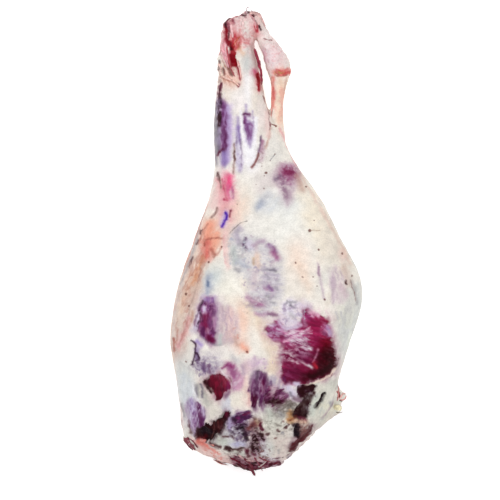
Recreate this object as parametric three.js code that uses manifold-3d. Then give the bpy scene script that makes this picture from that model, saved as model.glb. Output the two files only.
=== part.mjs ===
// A whole raw veal leg, from the cut hock to the rump, lying on its flatter inner side.
// Millimetres. +Z is up, out of the fat-covered outer side, +Y runs from the rump to the hock,
// and +X points to the heel side. The heel string (the Achilles tendon) stands clear of the
// shank, so a gap runs right through between the two.

import * as THREE from "three";
import { ImprovedNoise } from "three/addons/math/ImprovedNoise.js";
import { mergeVertices } from "three/addons/utils/BufferGeometryUtils.js";
import Module from "manifold-3d";

// Driving dimensions
const LEG_LENGTH = 780; // cut of the hock to the tip of the rump, without the torn knuckles
const ROUND_WIDTH = 324; // widest part of the thigh, seen from the outer side
const ROUND_DEPTH = 202; // thickest part of the thigh, inner to outer side

// Mesh fineness
const RINGS_PER_SECTION = 4;
const BODY_SIDES = 52;
const STEPS_PER_STOP = 3;
const TUBE_SIDES = 14;
const WELD_REACH = 1e-3; // corners closer than this become one

// Section shape: 2 is an ellipse, more is squarer
const OUTER_SQUARENESS = 2.15;
const INNER_SQUARENESS = 2.5;

// The front edge of the thigh lies lower than the back edge, as shares of the section's height
const FRONT_EDGE_LEVEL = 0.4;
const BACK_EDGE_LEVEL = 0.48;

// Cross-sections from the hock to the rump. A place on the leg is [across, down]: across is a share
// of half the width from the middle line, down is a share of the length from the hock.
// Crown and belly are the heights of the outer and inner side, as shares of the depth.
const SECTIONS = [
  { front: [-0.2, 0.0], back: [-0.2, 0.0], crown: 0.2, belly: 0.2 }, // middle of the hock's cut
  { front: [-0.39, 0.013], back: [-0.06, 0.005], crown: 0.31, belly: 0.08 }, // rim of the cut
  { front: [-0.46, 0.035], back: [-0.12, 0.04], crown: 0.355, belly: 0.02 },
  { front: [-0.49, 0.087], back: [-0.118, 0.087], crown: 0.365, belly: -0.01 }, // hock joint
  { front: [-0.51, 0.14], back: [-0.05, 0.14], crown: 0.375, belly: 0.005 },
  { front: [-0.54, 0.2], back: [0.012, 0.2], crown: 0.41, belly: 0.03 }, // thin of the shank
  { front: [-0.55, 0.262], back: [0.155, 0.262], crown: 0.45, belly: 0.045 },
  { front: [-0.54, 0.336], back: [0.325, 0.331], crown: 0.51, belly: 0.045 }, // calf meets the thigh
  { front: [-0.61, 0.41], back: [0.58, 0.405], crown: 0.62, belly: 0.035 },
  { front: [-0.745, 0.488], back: [0.772, 0.488], crown: 0.755, belly: 0.015 }, // knee
  { front: [-0.9, 0.58], back: [0.985, 0.576], crown: 0.885, belly: 0.008 },
  { front: [-0.975, 0.65], back: [1.0, 0.636], crown: 0.96, belly: 0.002 }, // widest
  { front: [-1.0, 0.719], back: [0.885, 0.715], crown: 0.985, belly: 0.0 }, // thickest
  { front: [-0.945, 0.794], back: [0.76, 0.797], crown: 0.96, belly: 0.004 },
  { front: [-0.9, 0.863], back: [0.7, 0.859], crown: 0.89, belly: 0.02 }, // seat bone
  { front: [-0.87, 0.915], back: [0.5, 0.915], crown: 0.78, belly: 0.045 },
  { front: [-0.72, 0.956], back: [0.31, 0.955], crown: 0.66, belly: 0.11 }, // rim of the rump's cut
  { front: [-0.4, 0.986], back: [0.105, 0.985], crown: 0.5, belly: 0.2 },
  { front: [-0.135, 1.0], back: [-0.135, 1.0], crown: 0.33, belly: 0.33 }, // tip of the rump
];

// Muscle bellies that stand proud: place, half-sizes and height in millimetres, turn in degrees
const OUTER = 1;
const INNER = -1;
const BELLIES = [
  { at: [0.42, 0.73], size: [62, 84], turn: 20, height: 9, side: OUTER }, // outside round
  { at: [-0.66, 0.69], size: [40, 78], turn: -8, height: 7, side: OUTER }, // knuckle
  { at: [0.62, 0.55], size: [52, 96], turn: 24, height: 6, side: OUTER }, // back of the thigh
  { at: [-0.52, 0.51], size: [26, 40], turn: -16, height: 7, side: OUTER }, // kneecap
  { at: [-0.45, 0.27], size: [15, 62], turn: 0, height: 5, side: OUTER }, // front of the shank
  { at: [-0.21, 0.25], size: [13, 66], turn: 2, height: 5, side: OUTER }, // middle of the shank
  { at: [0.2, 0.36], size: [30, 60], turn: 24, height: 5, side: OUTER }, // calf
  { at: [-0.35, 0.89], size: [40, 36], turn: 12, height: 6, side: OUTER }, // rump
  { at: [0.32, 0.9], size: [36, 32], turn: -32, height: 5, side: OUTER }, // seat
  { at: [-0.2, 0.1], size: [13, 36], turn: -4, height: 5, side: OUTER }, // hock tendon sheath
  { at: [0.45, 0.62], size: [60, 110], turn: 12, height: 7, side: INNER }, // inside round
  { at: [-0.5, 0.66], size: [50, 110], turn: -6, height: 11, side: INNER }, // inner knuckle
  { at: [-0.35, 0.26], size: [20, 66], turn: 0, height: 5, side: INNER }, // inner shank
  { at: [-0.2, 0.9], size: [70, 40], turn: 0, height: 6, side: INNER }, // inner rump
];

// Seams between the muscles: a line of places, with its half-width and depth in millimetres
const SEAMS = [
  { through: [[-0.24, 0.62], [0.0, 0.68], [0.2, 0.74], [0.04, 0.86]], width: 13, depth: 5, side: OUTER },
  { through: [[-0.74, 0.6], [-0.84, 0.7], [-0.86, 0.8]], width: 8, depth: 4, side: OUTER },
  { through: [[0.87, 0.58], [0.95, 0.65], [0.83, 0.73]], width: 7, depth: 4, side: OUTER },
  { through: [[-0.34, 0.2], [-0.35, 0.28], [-0.33, 0.38]], width: 6, depth: 4, side: OUTER },
  { through: [[0.03, 0.25], [-0.06, 0.31], [-0.14, 0.36]], width: 6, depth: 5, side: OUTER },
  { through: [[-0.62, 0.82], [-0.3, 0.84], [0.2, 0.83]], width: 12, depth: 4, side: OUTER },
  { through: [[-0.4, 0.06], [-0.36, 0.1], [-0.32, 0.15]], width: 6, depth: 6, side: OUTER }, // split hock
  { through: [[-0.1, 0.4], [0.02, 0.55], [-0.06, 0.74]], width: 14, depth: 6, side: INNER },
  { through: [[-0.2, 0.2], [-0.22, 0.3], [-0.28, 0.4]], width: 7, depth: 4, side: INNER },
];

// Torn flesh at the two cut ends: relief that grows from zero at 'start' to its full height at 'end'
const TEARS = [
  { start: 0.84, end: 0.95, height: 7, lump: 17 }, // rump
  { start: 0.15, end: 0.05, height: 4, lump: 12 }, // hock
];
const SURFACE_WAVE = { height: 1.6, lump: 46 }; // slow unevenness all over
const FINE_LAYER = { share: 0.5, scale: 2.1, shift: [7, 3, 5] }; // smaller lumps on top of the large ones

// Relief on one side fades out between these two slopes, where the surface turns to the other side
const FADE = { none: -0.1, full: 0.5 };

// Tubes joined to the body: stops of the middle line, with half-width and half-depth in millimetres
const HEEL_STRING = [
  { at: [-0.2, 0.028], height: 0.2, half: [10, 16] }, // root in the hock
  { at: [-0.09, 0.026], height: 0.2, half: [12, 17] },
  { at: [-0.028, 0.05], height: 0.2, half: [12.5, 17] }, // neck of the heel bone
  { at: [0.055, 0.078], height: 0.2, half: [17, 20] },
  { at: [0.115, 0.105], height: 0.2, half: [21, 22] }, // knob of the heel bone
  { at: [0.142, 0.126], height: 0.2, half: [21, 20] },
  { at: [0.14, 0.145], height: 0.2, half: [16, 15] },
  { at: [0.134, 0.163], height: 0.2, half: [13, 12] },
  { at: [0.122, 0.19], height: 0.2, half: [11.5, 11] }, // string
  { at: [0.117, 0.218], height: 0.205, half: [11, 11] },
  { at: [0.117, 0.245], height: 0.215, half: [12.5, 13] },
  { at: [0.12, 0.275], height: 0.235, half: [16, 20] }, // spreads over the calf
  { at: [0.12, 0.315], height: 0.25, half: [18, 26] },
];
const TAIL_STUMP = [
  { at: [0.36, 0.889], height: 0.42, half: [34, 44] }, // root in the rump
  { at: [0.55, 0.874], height: 0.42, half: [22, 34] },
  { at: [0.69, 0.864], height: 0.42, half: [13, 25] },
  { at: [0.805, 0.857], height: 0.42, half: [10.5, 17] }, // cut tip
];
const END_ROUNDING = 10; // how squarely a tube's two ends are closed

// Lumps and flaps joined to the body: place, height, half-sizes, and turns in degrees
const LUMPS = [
  { at: [-0.365, 0.034], height: 0.25, half: [15, 20, 15], turn: [0, 0, 14] }, // hock knuckle, front
  { at: [-0.17, 0.019], height: 0.24, half: [21, 20, 20], turn: [0, 0, -8] }, // hock knuckle, middle
  { at: [-0.24, 0.026], height: 0.13, half: [28, 18, 18], turn: [0, 0, 0] }, // hock knuckle, inner
  { at: [-0.475, 0.105], height: 0.26, half: [6, 22, 7], turn: [0, 0, -6] }, // cut tendon on the hock
  { at: [-0.42, 0.135], height: 0.33, half: [15, 6, 6], turn: [0, 0, -24] }, // band across the shank
  { at: [0.71, 0.83], height: 0.44, half: [14, 19, 24], turn: [0, 0, 18] }, // torn edge by the tail
  { at: [0.775, 0.838], height: 0.45, half: [13, 8, 14], turn: [0, 10, 30] }, // torn tip by the tail
  { at: [-0.8, 0.936], height: 0.42, half: [19, 7, 12], turn: [0, 24, -46] }, // flap at the rump's corner
  { at: [-0.42, 0.968], height: 0.47, half: [52, 9, 13], turn: [0, 8, -22] }, // torn edge of the rump
  { at: [0.02, 0.98], height: 0.42, half: [34, 9, 15], turn: [0, 0, 16] }, // torn edge of the rump
];
const LUMP_DETAIL = 3;
const LUMP_RELIEF = { height: 3.2, lump: 11 };

// The underside is pared flat at floor level, where it bears
const PARING = { width: 600, length: 1200, depth: 100 };

const FAT = { color: 0xeadfce, roughness: 0.5, metalness: 0 };

const noise = new ImprovedNoise();
const wasm = await Module();
wasm.setup();

// A point of the leg from its place and its height, both in shares of the driving dimensions
function pointAt([across, down], height) {
  return new THREE.Vector3(
    (across * ROUND_WIDTH) / 2,
    (0.5 - down) * LEG_LENGTH,
    height * ROUND_DEPTH,
  );
}

function curveThrough(points) {
  return new THREE.CatmullRomCurve3(points);
}

// Keeps only positions, so that shared corners become one
function weld(geometry) {
  geometry.deleteAttribute("normal");
  geometry.deleteAttribute("uv");
  return mergeVertices(geometry, WELD_REACH);
}

// A closed skin: a sphere's grid with each vertex moved to pointOn(share along, angle around)
function skin(steps, sides, pointOn) {
  const geometry = new THREE.SphereGeometry(1, sides, steps);
  const position = geometry.getAttribute("position");
  for (let step = 0; step <= steps; step++) {
    for (let side = 0; side <= sides; side++) {
      const angle = ((side % sides) / sides) * 2 * Math.PI;
      const point = pointOn(step / steps, angle);
      position.setXYZ(step * (sides + 1) + side, point.x, point.y, point.z);
    }
  }
  return weld(geometry);
}

// Moves each vertex along its normal by relief(point, normal)
function raise(geometry, relief) {
  geometry.computeVertexNormals();
  const position = geometry.getAttribute("position");
  const normals = geometry.getAttribute("normal");
  const point = new THREE.Vector3();
  const normal = new THREE.Vector3();
  for (let i = 0; i < position.count; i++) {
    point.fromBufferAttribute(position, i);
    normal.fromBufferAttribute(normals, i);
    point.addScaledVector(normal, relief(point, normal));
    position.setXYZ(i, point.x, point.y, point.z);
  }
  geometry.deleteAttribute("normal");
  return geometry;
}

function lumpiness(point, lump) {
  const [x, y, z] = [point.x / lump, point.y / lump, point.z / lump];
  const { share, scale, shift } = FINE_LAYER;
  const fine = noise.noise(scale * x + shift[0], scale * y + shift[1], scale * z + shift[2]);
  return noise.noise(x, y, z) + share * fine;
}

// How far a surface faces the outer or the inner side, from 0 to 1
function facing(normal, side) {
  return THREE.MathUtils.smoothstep(normal.z * side, FADE.none, FADE.full);
}

function bellyRelief(point, normal, { at, size, turn, height, side }) {
  const middle = pointAt(at, 0);
  const offset = new THREE.Vector2(point.x - middle.x, point.y - middle.y);
  offset.rotateAround(new THREE.Vector2(), THREE.MathUtils.degToRad(-turn));
  const reach = (offset.x / size[0]) ** 2 + (offset.y / size[1]) ** 2;
  return height * Math.exp(-reach) * facing(normal, side);
}

// Distance from a point to a seam's line, seen square to the leg
function distanceToSeam(point, corners) {
  const line = new THREE.Line3();
  const flat = new THREE.Vector3(point.x, point.y, 0);
  const nearest = new THREE.Vector3();
  let least = Infinity;
  for (let i = 1; i < corners.length; i++) {
    line.set(corners[i - 1], corners[i]);
    line.closestPointToPoint(flat, true, nearest);
    least = Math.min(least, nearest.distanceTo(flat));
  }
  return least;
}

function seamRelief(point, normal, { corners, width, depth, side }) {
  const reach = distanceToSeam(point, corners) / width;
  return -depth * Math.exp(-reach * reach) * facing(normal, side);
}

function tearRelief(point, { start, end, height, lump }) {
  const down = 0.5 - point.y / LEG_LENGTH;
  const share = THREE.MathUtils.clamp((down - start) / (end - start), 0, 1);
  return height * share * lumpiness(point, lump);
}

// The shank and the thigh as one body, swept through the sections
function legBody() {
  const level = (section, share) => THREE.MathUtils.lerp(section.belly, section.crown, share);
  const frontEdge = curveThrough(SECTIONS.map((s) => pointAt(s.front, level(s, FRONT_EDGE_LEVEL))));
  const backEdge = curveThrough(SECTIONS.map((s) => pointAt(s.back, level(s, BACK_EDGE_LEVEL))));
  const heights = curveThrough(
    SECTIONS.map((s) => new THREE.Vector3(s.crown, s.belly, 0).multiplyScalar(ROUND_DEPTH)),
  );
  const squared = (value, squareness) => Math.sign(value) * Math.abs(value) ** (2 / squareness);
  const pointOn = (along, angle) => {
    const height = heights.getPoint(along);
    const squareness = Math.sin(angle) > 0 ? OUTER_SQUARENESS : INNER_SQUARENESS;
    const across = 0.5 - 0.5 * squared(Math.cos(angle), squareness);
    const lift = squared(Math.sin(angle), squareness);
    const point = frontEdge.getPoint(along).lerp(backEdge.getPoint(along), across);
    point.z += lift > 0 ? lift * (height.x - point.z) : lift * (point.z - height.y);
    return point;
  };
  const seams = SEAMS.map((seam) => ({ ...seam, corners: seam.through.map((p) => pointAt(p, 0)) }));
  const relief = (point, normal) => {
    let sum = SURFACE_WAVE.height * lumpiness(point, SURFACE_WAVE.lump);
    for (const belly of BELLIES) sum += bellyRelief(point, normal, belly);
    for (const seam of seams) sum += seamRelief(point, normal, seam);
    for (const tear of TEARS) sum += tearRelief(point, tear);
    return sum;
  };
  return raise(skin((SECTIONS.length - 1) * RINGS_PER_SECTION, BODY_SIDES, pointOn), relief);
}

// A round-ended tube through its stops, wider or flatter from one stop to the next
function tube(stops) {
  const middle = curveThrough(stops.map((s) => pointAt(s.at, s.height)));
  const halves = curveThrough(stops.map((s) => new THREE.Vector3(s.half[0], s.half[1], 0)));
  const up = new THREE.Vector3(0, 0, 1);
  const pointOn = (along, angle) => {
    const half = halves.getPoint(along);
    const closing = Math.sqrt(1 - Math.abs(2 * along - 1) ** END_ROUNDING);
    const outward = new THREE.Vector3().crossVectors(middle.getTangent(along), up).normalize();
    return middle
      .getPoint(along)
      .addScaledVector(outward, Math.cos(angle) * half.x * closing)
      .addScaledVector(up, Math.sin(angle) * half.y * closing);
  };
  return skin((stops.length - 1) * STEPS_PER_STOP, TUBE_SIDES, pointOn);
}

function lump({ at, height, half, turn }) {
  const geometry = weld(new THREE.IcosahedronGeometry(1, LUMP_DETAIL));
  const euler = new THREE.Euler(...turn.map(THREE.MathUtils.degToRad));
  geometry.scale(...half);
  geometry.applyMatrix4(new THREE.Matrix4().makeRotationFromEuler(euler));
  const middle = pointAt(at, height);
  geometry.translate(middle.x, middle.y, middle.z);
  return raise(geometry, (point) => LUMP_RELIEF.height * lumpiness(point, LUMP_RELIEF.lump));
}

function paringBlock() {
  const { width, length, depth } = PARING;
  return weld(new THREE.BoxGeometry(width, length, depth)).translate(0, 0, -depth / 2);
}

function solidOf(geometry) {
  const mesh = new wasm.Mesh({
    numProp: 3,
    vertProperties: new Float32Array(geometry.getAttribute("position").array),
    triVerts: new Uint32Array(geometry.index.array),
  });
  return new wasm.Manifold(mesh);
}

function geometryOf(solid) {
  const { vertProperties, triVerts } = solid.getMesh();
  return new THREE.BufferGeometry()
    .setAttribute("position", new THREE.BufferAttribute(vertProperties, 3))
    .setIndex(new THREE.BufferAttribute(triVerts, 1));
}

// The origin is the middle of the box that the leg fills, at floor level
function centred(geometry) {
  geometry.computeBoundingBox();
  const middle = geometry.boundingBox.getCenter(new THREE.Vector3());
  return geometry.translate(-middle.x, -middle.y, -geometry.boundingBox.min.z);
}

function vealLeg() {
  const flesh = [legBody(), tube(HEEL_STRING), tube(TAIL_STUMP), ...LUMPS.map(lump)]
    .map(solidOf)
    .reduce((joined, piece) => joined.add(piece))
    .subtract(solidOf(paringBlock()));
  const geometry = centred(geometryOf(flesh));
  geometry.computeVertexNormals();
  const mesh = new THREE.Mesh(geometry, new THREE.MeshStandardMaterial(FAT));
  mesh.name = "veal_leg";
  return mesh;
}

const leg = new THREE.Group();
leg.add(vealLeg());

export default leg;
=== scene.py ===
"""A raw veal leg lying on its inner side, seen from straight above on a pale floor."""

import math

import bpy
import numpy as np
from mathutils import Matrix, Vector
from mathutils.bvhtree import BVHTree


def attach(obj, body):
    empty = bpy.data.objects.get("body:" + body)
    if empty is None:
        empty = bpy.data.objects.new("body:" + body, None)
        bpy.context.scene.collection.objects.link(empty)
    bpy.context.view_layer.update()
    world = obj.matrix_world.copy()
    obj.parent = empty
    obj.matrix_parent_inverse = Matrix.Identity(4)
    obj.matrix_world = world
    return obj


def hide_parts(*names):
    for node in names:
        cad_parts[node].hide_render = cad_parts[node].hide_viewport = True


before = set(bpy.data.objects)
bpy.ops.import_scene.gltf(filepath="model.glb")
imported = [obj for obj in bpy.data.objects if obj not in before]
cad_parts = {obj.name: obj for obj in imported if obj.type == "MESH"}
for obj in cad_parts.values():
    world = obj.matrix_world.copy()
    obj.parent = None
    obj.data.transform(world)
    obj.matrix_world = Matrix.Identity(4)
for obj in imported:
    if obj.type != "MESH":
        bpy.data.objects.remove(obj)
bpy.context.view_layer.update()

# How the photograph's pixels lie over the leg, in metres
PHOTO_MIDDLE = 250.0  # pixels
ORIGIN_PIXEL = (266.0, 241.0)
PIXEL = 0.0017
OUTLINE_HEIGHT = 0.08
CAMERA_HEIGHT = 5.0
CAMERA_SPOT = ((PHOTO_MIDDLE - ORIGIN_PIXEL[0]) * PIXEL, (ORIGIN_PIXEL[1] - PHOTO_MIDDLE) * PIXEL)
CLIP_END = 50.0
SENSOR = 36.0  # millimetres
MM = 0.001

# Studio: floor and lights, in metres and watts
FLOOR_SIZE = 12.0
FLOOR_GLOW = 0.45
FLOOR_TONES = (250, 250, 250), (253, 253, 252)
WORLD_STRENGTH = 0.5
LIGHT_SIZE = 1.6
LIGHT_AIM = (0.0, 0.0, 0.1)
LIGHTS = [("key", (-0.9, 0.9, 2.4), 27), ("fill", (1.1, -0.6, 2.2), 15)]

# Fineness of the skin
VOXEL = 0.0018  # metres
MOST_TRIANGLES = 196000
SMOOTHING_ROUNDS = 8
SMOOTHING = 0.5  # how far a vertex moves towards its neighbours' mean in a round
STEEP = 0.15  # walls and the underside, whose normals rise less than this, are thinned out
DETAIL_REACH = 3.0  # how far round a painted detail the skin stays fine, in pixels
ROUGHENING = 0.0002  # metres; keeps the thinning even, and is smoothed away after it
ROUGHENING_SEED = 7
NOISE_SEED = 5

# Edges of painted features, in pixels
FAR = 14.0  # reach of the distance fields
CORNER_CUTS, CORNER_CUT = 2, 0.25  # how often corners are cut, and the share of each side
CORNER_LOSS = 0.6  # what cutting takes off an outline
WANDER, DRIFT = 1.2, 1.0  # how far edges stray in short and in long waves
LINE_WANDER = 0.6  # the same for thin lines, in short waves
OVAL_REACH = 1.6  # ovals fade out within this many half-widths
OVAL_FADE, OVAL_POWER = 0.8, 2.8  # how ovals fade: on the rim, and how steeply
FLECK_POWER, BAND_POWER = 3.5, 2
STROKE_STEPS = 4  # steps between two points of a stroke
STROKE_UNEVEN, STROKE_CRUMBS = 0.4, 0.5  # how much a stroke's width and rim vary
MARK_SHARE, MARK_UNEVEN = 0.75, 0.5  # a mark's mean width as a share, and how much it varies
TINY = 1e-9

# Where the outer side ends and the inner side begins: rise of the normal
OUTER_SIDE = (0.0, 0.28)
INNER_SIDE = (0.1, 0.38)
SIDE_WANDER = 0.12

# Wavelengths of what is uneven, in millimetres
WANDER_WAVE, DRIFT_WAVE, SIDE_WAVE = 11, 27, 45
MOTTLE_WAVE, FADE_WAVE = 16, 34
UNEVEN_WAVE, CRUMB_WAVE, KIND_WAVE = 9, 5, 7
FAT_WAVE, TORN_WAVE = 24, 11
OCTAVE_SHARE, OCTAVE_SHIFT = 0.62, 17.3
FLECK_SEED, KIND_SEED, DAPPLE_SEED = 3.1, 5.7, 2.7  # steps from item to item
STRAND_BUMP_SEED, STRAND_SHADE_SEED = 9.3, 4.1

# Fibres in muscle and fat: length and width in millimetres
ALONG_LEG, FLOW_FAN = 90, 0.25  # degrees, and degrees a pixel to each side
BUNDLE = np.array([42, 5.5, 5.5])
MARBLING = np.array([15, 4, 4])
FINE_MARBLING = np.array([7, 2.4, 2.4])
BROAD_FAT, FAT_THREAD = (80, 24), (30, 4)
VEIL_THREAD, FINE_VEIL_THREAD = (26, 4.0), (12, 2.4)
FINE_SHARE = 0.6  # how much the finer fibres count
LAYER_RISE, LAYER_STEP = 0.3, 37  # keep the fibres of heights and windows apart
BUNDLE_SHADE, THREAD_SHADE = 0.22, 0.03
MARBLING_REACH, HALO_REACH = 4, 5.5
MOST_PALE, MOST_VEILED = 0.8, 0.95
FIBRE_FAN, FIBRE_BEND, FIBRE_SOFT = 0.2, 0.12, 0.8  # how strewn fibres spread, bend and fade
FIBRE_LENGTHS, FIBRE_WIDTHS = (0.35, 0.7), (0.6, 1.3)  # shares of the length and width stated

# How uneven colours are: shares of the mottling, and where smooth steps begin and end
STAIN_MOTTLE, LEAST_STAIN = 0.4, 0.5
MARBLING_MOTTLE, MARBLING_EDGE = 0.4, (0.0, 0.9)
MARBLING_SHIFT, FINE_SHIFT = 5.5, 9.5  # keep the two layers of marbling apart
MARBLING_DEEP, MARBLING_SHALLOW = 0.9, 1.4  # marbling everywhere, and what the edges add
BROAD_MOTTLE, THREAD_MOTTLE = 0.25, 0.3
WARM_SHARE, WARM_EDGE = 0.5, (0.0, 0.7)
COOL_SHARE, COOL_EDGE = 0.4, (0.1, 0.7)
HALO_MOTTLE, HALO_THREADS, HALO_RANGE = 0.9, 0.5, (0.1, 1.5)
HALO_MUSCLE, HALO_FAT = 0.45, 0.55  # what the thin fat beside bared muscle is mixed from
SOFT_LEAST, SOFT_MORE, SOFT_EDGE = 0.5, 1.5, (-0.5, 0.6)  # how the softness of edges varies
DAPPLE_LONG, FINE_LONG, FINE_THIN = 3.4, 1.5, 0.55  # streaks, as shares of a dapple's size
DAPPLE_SOFT, FINE_SEED = 0.25, 0.3
FLECK_WAVE, FLECK_SLOPE = 3.0, 2.4  # shares of a fleck's size
FLECK_LEVEL, FLECK_CROWD, LEAST_CROWD = 0.75, 0.95, 0.04  # how flecks thin out with distance
KIND_EDGE = (-0.3, 0.3)  # between the two colours of flecks

# Relief in millimetres, and the rows of pixels between which the ends turn ragged
BARED_EDGE, MARK_EDGE = (-0.8, 1.2), (-1.0, 1.0)
BUNDLE_HEIGHT, FAT_HEIGHT, MOTTLE_HEIGHT, TORN_HEIGHT = 0.5, 0.6, 0.25, 1.7
RUMP_TORN, HOCK_TORN = (395, 425), (100, 60)
MARK_SOFT, LEAST_SOFT = 0.9, 0.3

# Strands
STRAND_SIDES, STRAND_STEPS = 10, 8
STRAND_LIFTS = 4  # rounds in which a strand rises over hollows
STRAND_BLUNT = 7  # how blunt a strand's ends are
STRAND_BUMP_WAVE, STRAND_SHADE_WAVE = 7, 5
STRAND_BUMP, STRAND_SHIFT, STRAND_SHADE = 0.35, 0.25, 0.4
STRAND_GRAIN = np.array([2.0, 1.3, 11.0])  # steps along, round and from strand to strand

# Texture in the materials: fibres and torn edges in millimetres, specks and clouds in cells a metre
FINE_FIBRE, COARSE_FIBRE, STRAND_FIBRE = (15, 1.8, 1.8), (26, 7, 7), (9, 1.2, 1)
SPECKS, CLOUDS, FLOOR_CLOUDS = 420, 90, 3.0
FINE_TEAR, COARSE_TEAR, TEAR_LEVEL = 8.0, 14.0, -11.0
GRIT, GRIT_LEVEL = 2.0, -1.0
RIDGE_SLOPE, RIDGE_FIBRES = -7.0, 0.9  # how narrow pale fibres are, and how broken
CLOUD_BUMP, SPECK_BUMP = 0.6, 0.3

# Colours, in sRGB
IVORY = (239, 233, 224)
WARM_FAT = (238, 220, 202)
COOL_FAT = (226, 226, 222)
PALE_FIBRE = (222, 200, 214)
THIN_FAT = (214, 196, 212)
PALE_FAT = (234, 227, 222)
WHITE = (250, 248, 251)
MILK = (228, 224, 228)
PINK_WHITE = (236, 188, 210)
LILAC_WHITE = (218, 208, 230)
VIOLET_WHITE = (198, 178, 222)
CREAM = (240, 222, 206)
PEACH = (238, 204, 182)
SAND = (230, 194, 170)
TAN = (190, 156, 124)
TAN_ROSE = (196, 156, 142)
AMBER = (216, 148, 112)
AMBER_DARK = (182, 132, 84)
ORANGE = (240, 158, 132)
CORAL = (222, 118, 108)
SALMON = (232, 136, 126)
RUST = (160, 88, 76)
RUST_DARK = (110, 34, 24)
BROWN = (122, 84, 80)
DARK_BROWN = (80, 46, 48)
WINE_BROWN = (116, 56, 56)
BLUSH = (236, 200, 196)
PINK_FAT = (238, 204, 198)
SOFT_PINK = (240, 174, 188)
ROSE = (226, 160, 164)
RED = (200, 74, 78)
CRIMSON = (182, 40, 54)
PINK = (210, 104, 140)
RASPBERRY = (228, 76, 124)
RASPBERRY_DARK = (160, 30, 64)
MAGENTA = (130, 40, 95)
BLOOD = (126, 8, 22)
DEEP_RED = (146, 4, 16)
DARK_BLOOD = (106, 28, 46)
MAROON = (80, 14, 36)
BLACK_MAROON = (40, 10, 14)
BLACK = (26, 14, 22)
BLACK_BROWN = (46, 20, 22)
WINE = (118, 26, 66)
WINE_DARK = (92, 8, 50)
AUBERGINE = (84, 28, 72)
NAVY = (50, 24, 46)
PURPLE = (116, 62, 118)
PLUM = (150, 84, 126)
PLUM_GREY = (130, 94, 120)
SLATE_PLUM = (94, 70, 98)
MAUVE = (186, 146, 172)
MAUVE_PINK = (216, 164, 188)
MAUVE_GREY = (180, 156, 176)
PALE_MAUVE = (206, 182, 190)
LILAC = (174, 156, 194)
LILAC_GREY = (176, 164, 182)
VIOLET = (172, 152, 206)
DUSK = (138, 114, 172)
DUSK_DARK = (88, 54, 98)
INK = (74, 34, 158)
INK_PALE = (150, 122, 196)
BLUE_GREY = (166, 172, 190)
SLATE_BLUE = (96, 110, 140)
GREEN_GREY = (186, 192, 190)
GREEN_WHITE = (216, 222, 210)
UMBER = (112, 102, 96)
PALE_GREY = (192, 190, 196)
GREY = (150, 146, 152)
SLATE = (116, 108, 122)


def paint(colour):
    """An sRGB colour as shares of one."""
    return np.array(colour) / 255


def linear(share):
    """Shares of an sRGB colour as linear red, green, blue."""
    share = np.clip(share, 0, 1)
    return np.where(share <= 0.04045, share / 12.92, ((share + 0.055) / 1.055) ** 2.4)


def window(outline, colour, grain=90, ragged=0.8, streak=0.15, depth=1.0, soft=3.0, halo=0.55, under=False):
    """Bared muscle: its outline in pixels, colour, fibre direction in degrees, and how its edge looks."""
    return dict(outline=outline, colour=colour, grain=grain, ragged=ragged, streak=streak, depth=depth,
                soft=soft, halo=halo, under=under)


def veil(outline, colour, strength=0.6, grain=90, streak=0.5, soft=3.0, under=False):
    """Muscle seen dimly through thin fat."""
    return dict(outline=outline, colour=colour, strength=strength, grain=grain, streak=streak, soft=soft,
                under=under)


def tint(middle, half, colour, strength=0.7, turn=0, under=False):
    """A soft patch of colour, for stains and for painted shade along edges: an oval of pixels that fades
    outwards.
    """
    return dict(middle=middle, half=half, colour=colour, strength=strength, turn=turn, under=under)


def band(points, half, colour, strength=0.8):
    """A soft band of colour along a line of pixels, for stains and for painted shade along outlines."""
    return dict(points=points, half=half, colour=colour, strength=strength, under=False)


def flecks(middle, half, colour, other, density=0.6, size=4.0, depth=1.0, turn=0, soft=1.6):
    """A crowd of small torn spots of two colours, densest in the middle of an oval of pixels."""
    return dict(middle=middle, half=half, colour=colour, other=other, density=density, size=size,
                depth=depth, turn=turn, soft=soft, under=False)


def stroke(colour, half, *points, strength=0.9, soft=1.4, lift=0.0):
    """A streak or dab on fat and muscle alike, along a line of pixels; lift in millimetres."""
    return dict(colour=colour, half=half, points=points, strength=strength, soft=soft, lift=lift,
                under=False)


def wash(colour, half, *points, strength=0.8):
    """A soft brush on fat and muscle alike, strongest along its line of pixels."""
    return stroke(colour, half, *points, strength=strength, soft=None)


def dapple(middle, half, colour, strength=0.6, size=6.0, cut=0.2, turn=0, grain=None, under=False):
    """Soft mottling on fat and muscle alike, over an oval of pixels; streaky where a grain is given."""
    return dict(middle=middle, half=half, colour=colour, strength=strength, size=size, cut=cut, turn=turn,
                grain=grain, lift=0.0, under=under)


def mark(points, half, colour, strength=0.8, depth=0.3):
    """A thin line or spot on the surface."""
    return dict(points=points, half=half, colour=colour, strength=strength, depth=depth, soft=MARK_SOFT,
                under=False)


def strand(points, half, colour, flat=0.6, lift=0.2, tip=0.5):
    """A loose cord of tissue, or a dark strip of painted shadow, along a line of pixels; flat, lift and tip
    are shares of its half-width.
    """
    return dict(points=points, half=half, colour=colour, flat=flat, lift=lift, tip=tip)


def strewn(seed, middle, half, direction, count, colour, length, width, strength):
    """Many thin strokes over an oval of pixels, all running about one way."""
    draw = np.random.default_rng(seed)
    heading = math.radians(direction)
    way = np.array([math.cos(heading), -math.sin(heading)])
    side = np.array([way[1], -way[0]])
    found = []
    for _ in range(count):
        out = math.sqrt(draw.random())
        turn = 2 * math.pi * draw.random()
        along, across = half[0] * out * math.cos(turn), half[1] * out * math.sin(turn)
        spot = np.array(middle) + way * along + side * across
        reach = length * draw.uniform(*FIBRE_LENGTHS)
        ahead = reach * (way + side * draw.normal(0, FIBRE_FAN))
        bend = reach * side * draw.normal(0, FIBRE_BEND)
        half_width = width * draw.uniform(*FIBRE_WIDTHS)
        found.append(stroke(colour, half_width, spot - ahead, spot + bend, spot + ahead,
                            strength=strength, soft=FIBRE_SOFT))
    return found


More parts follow.
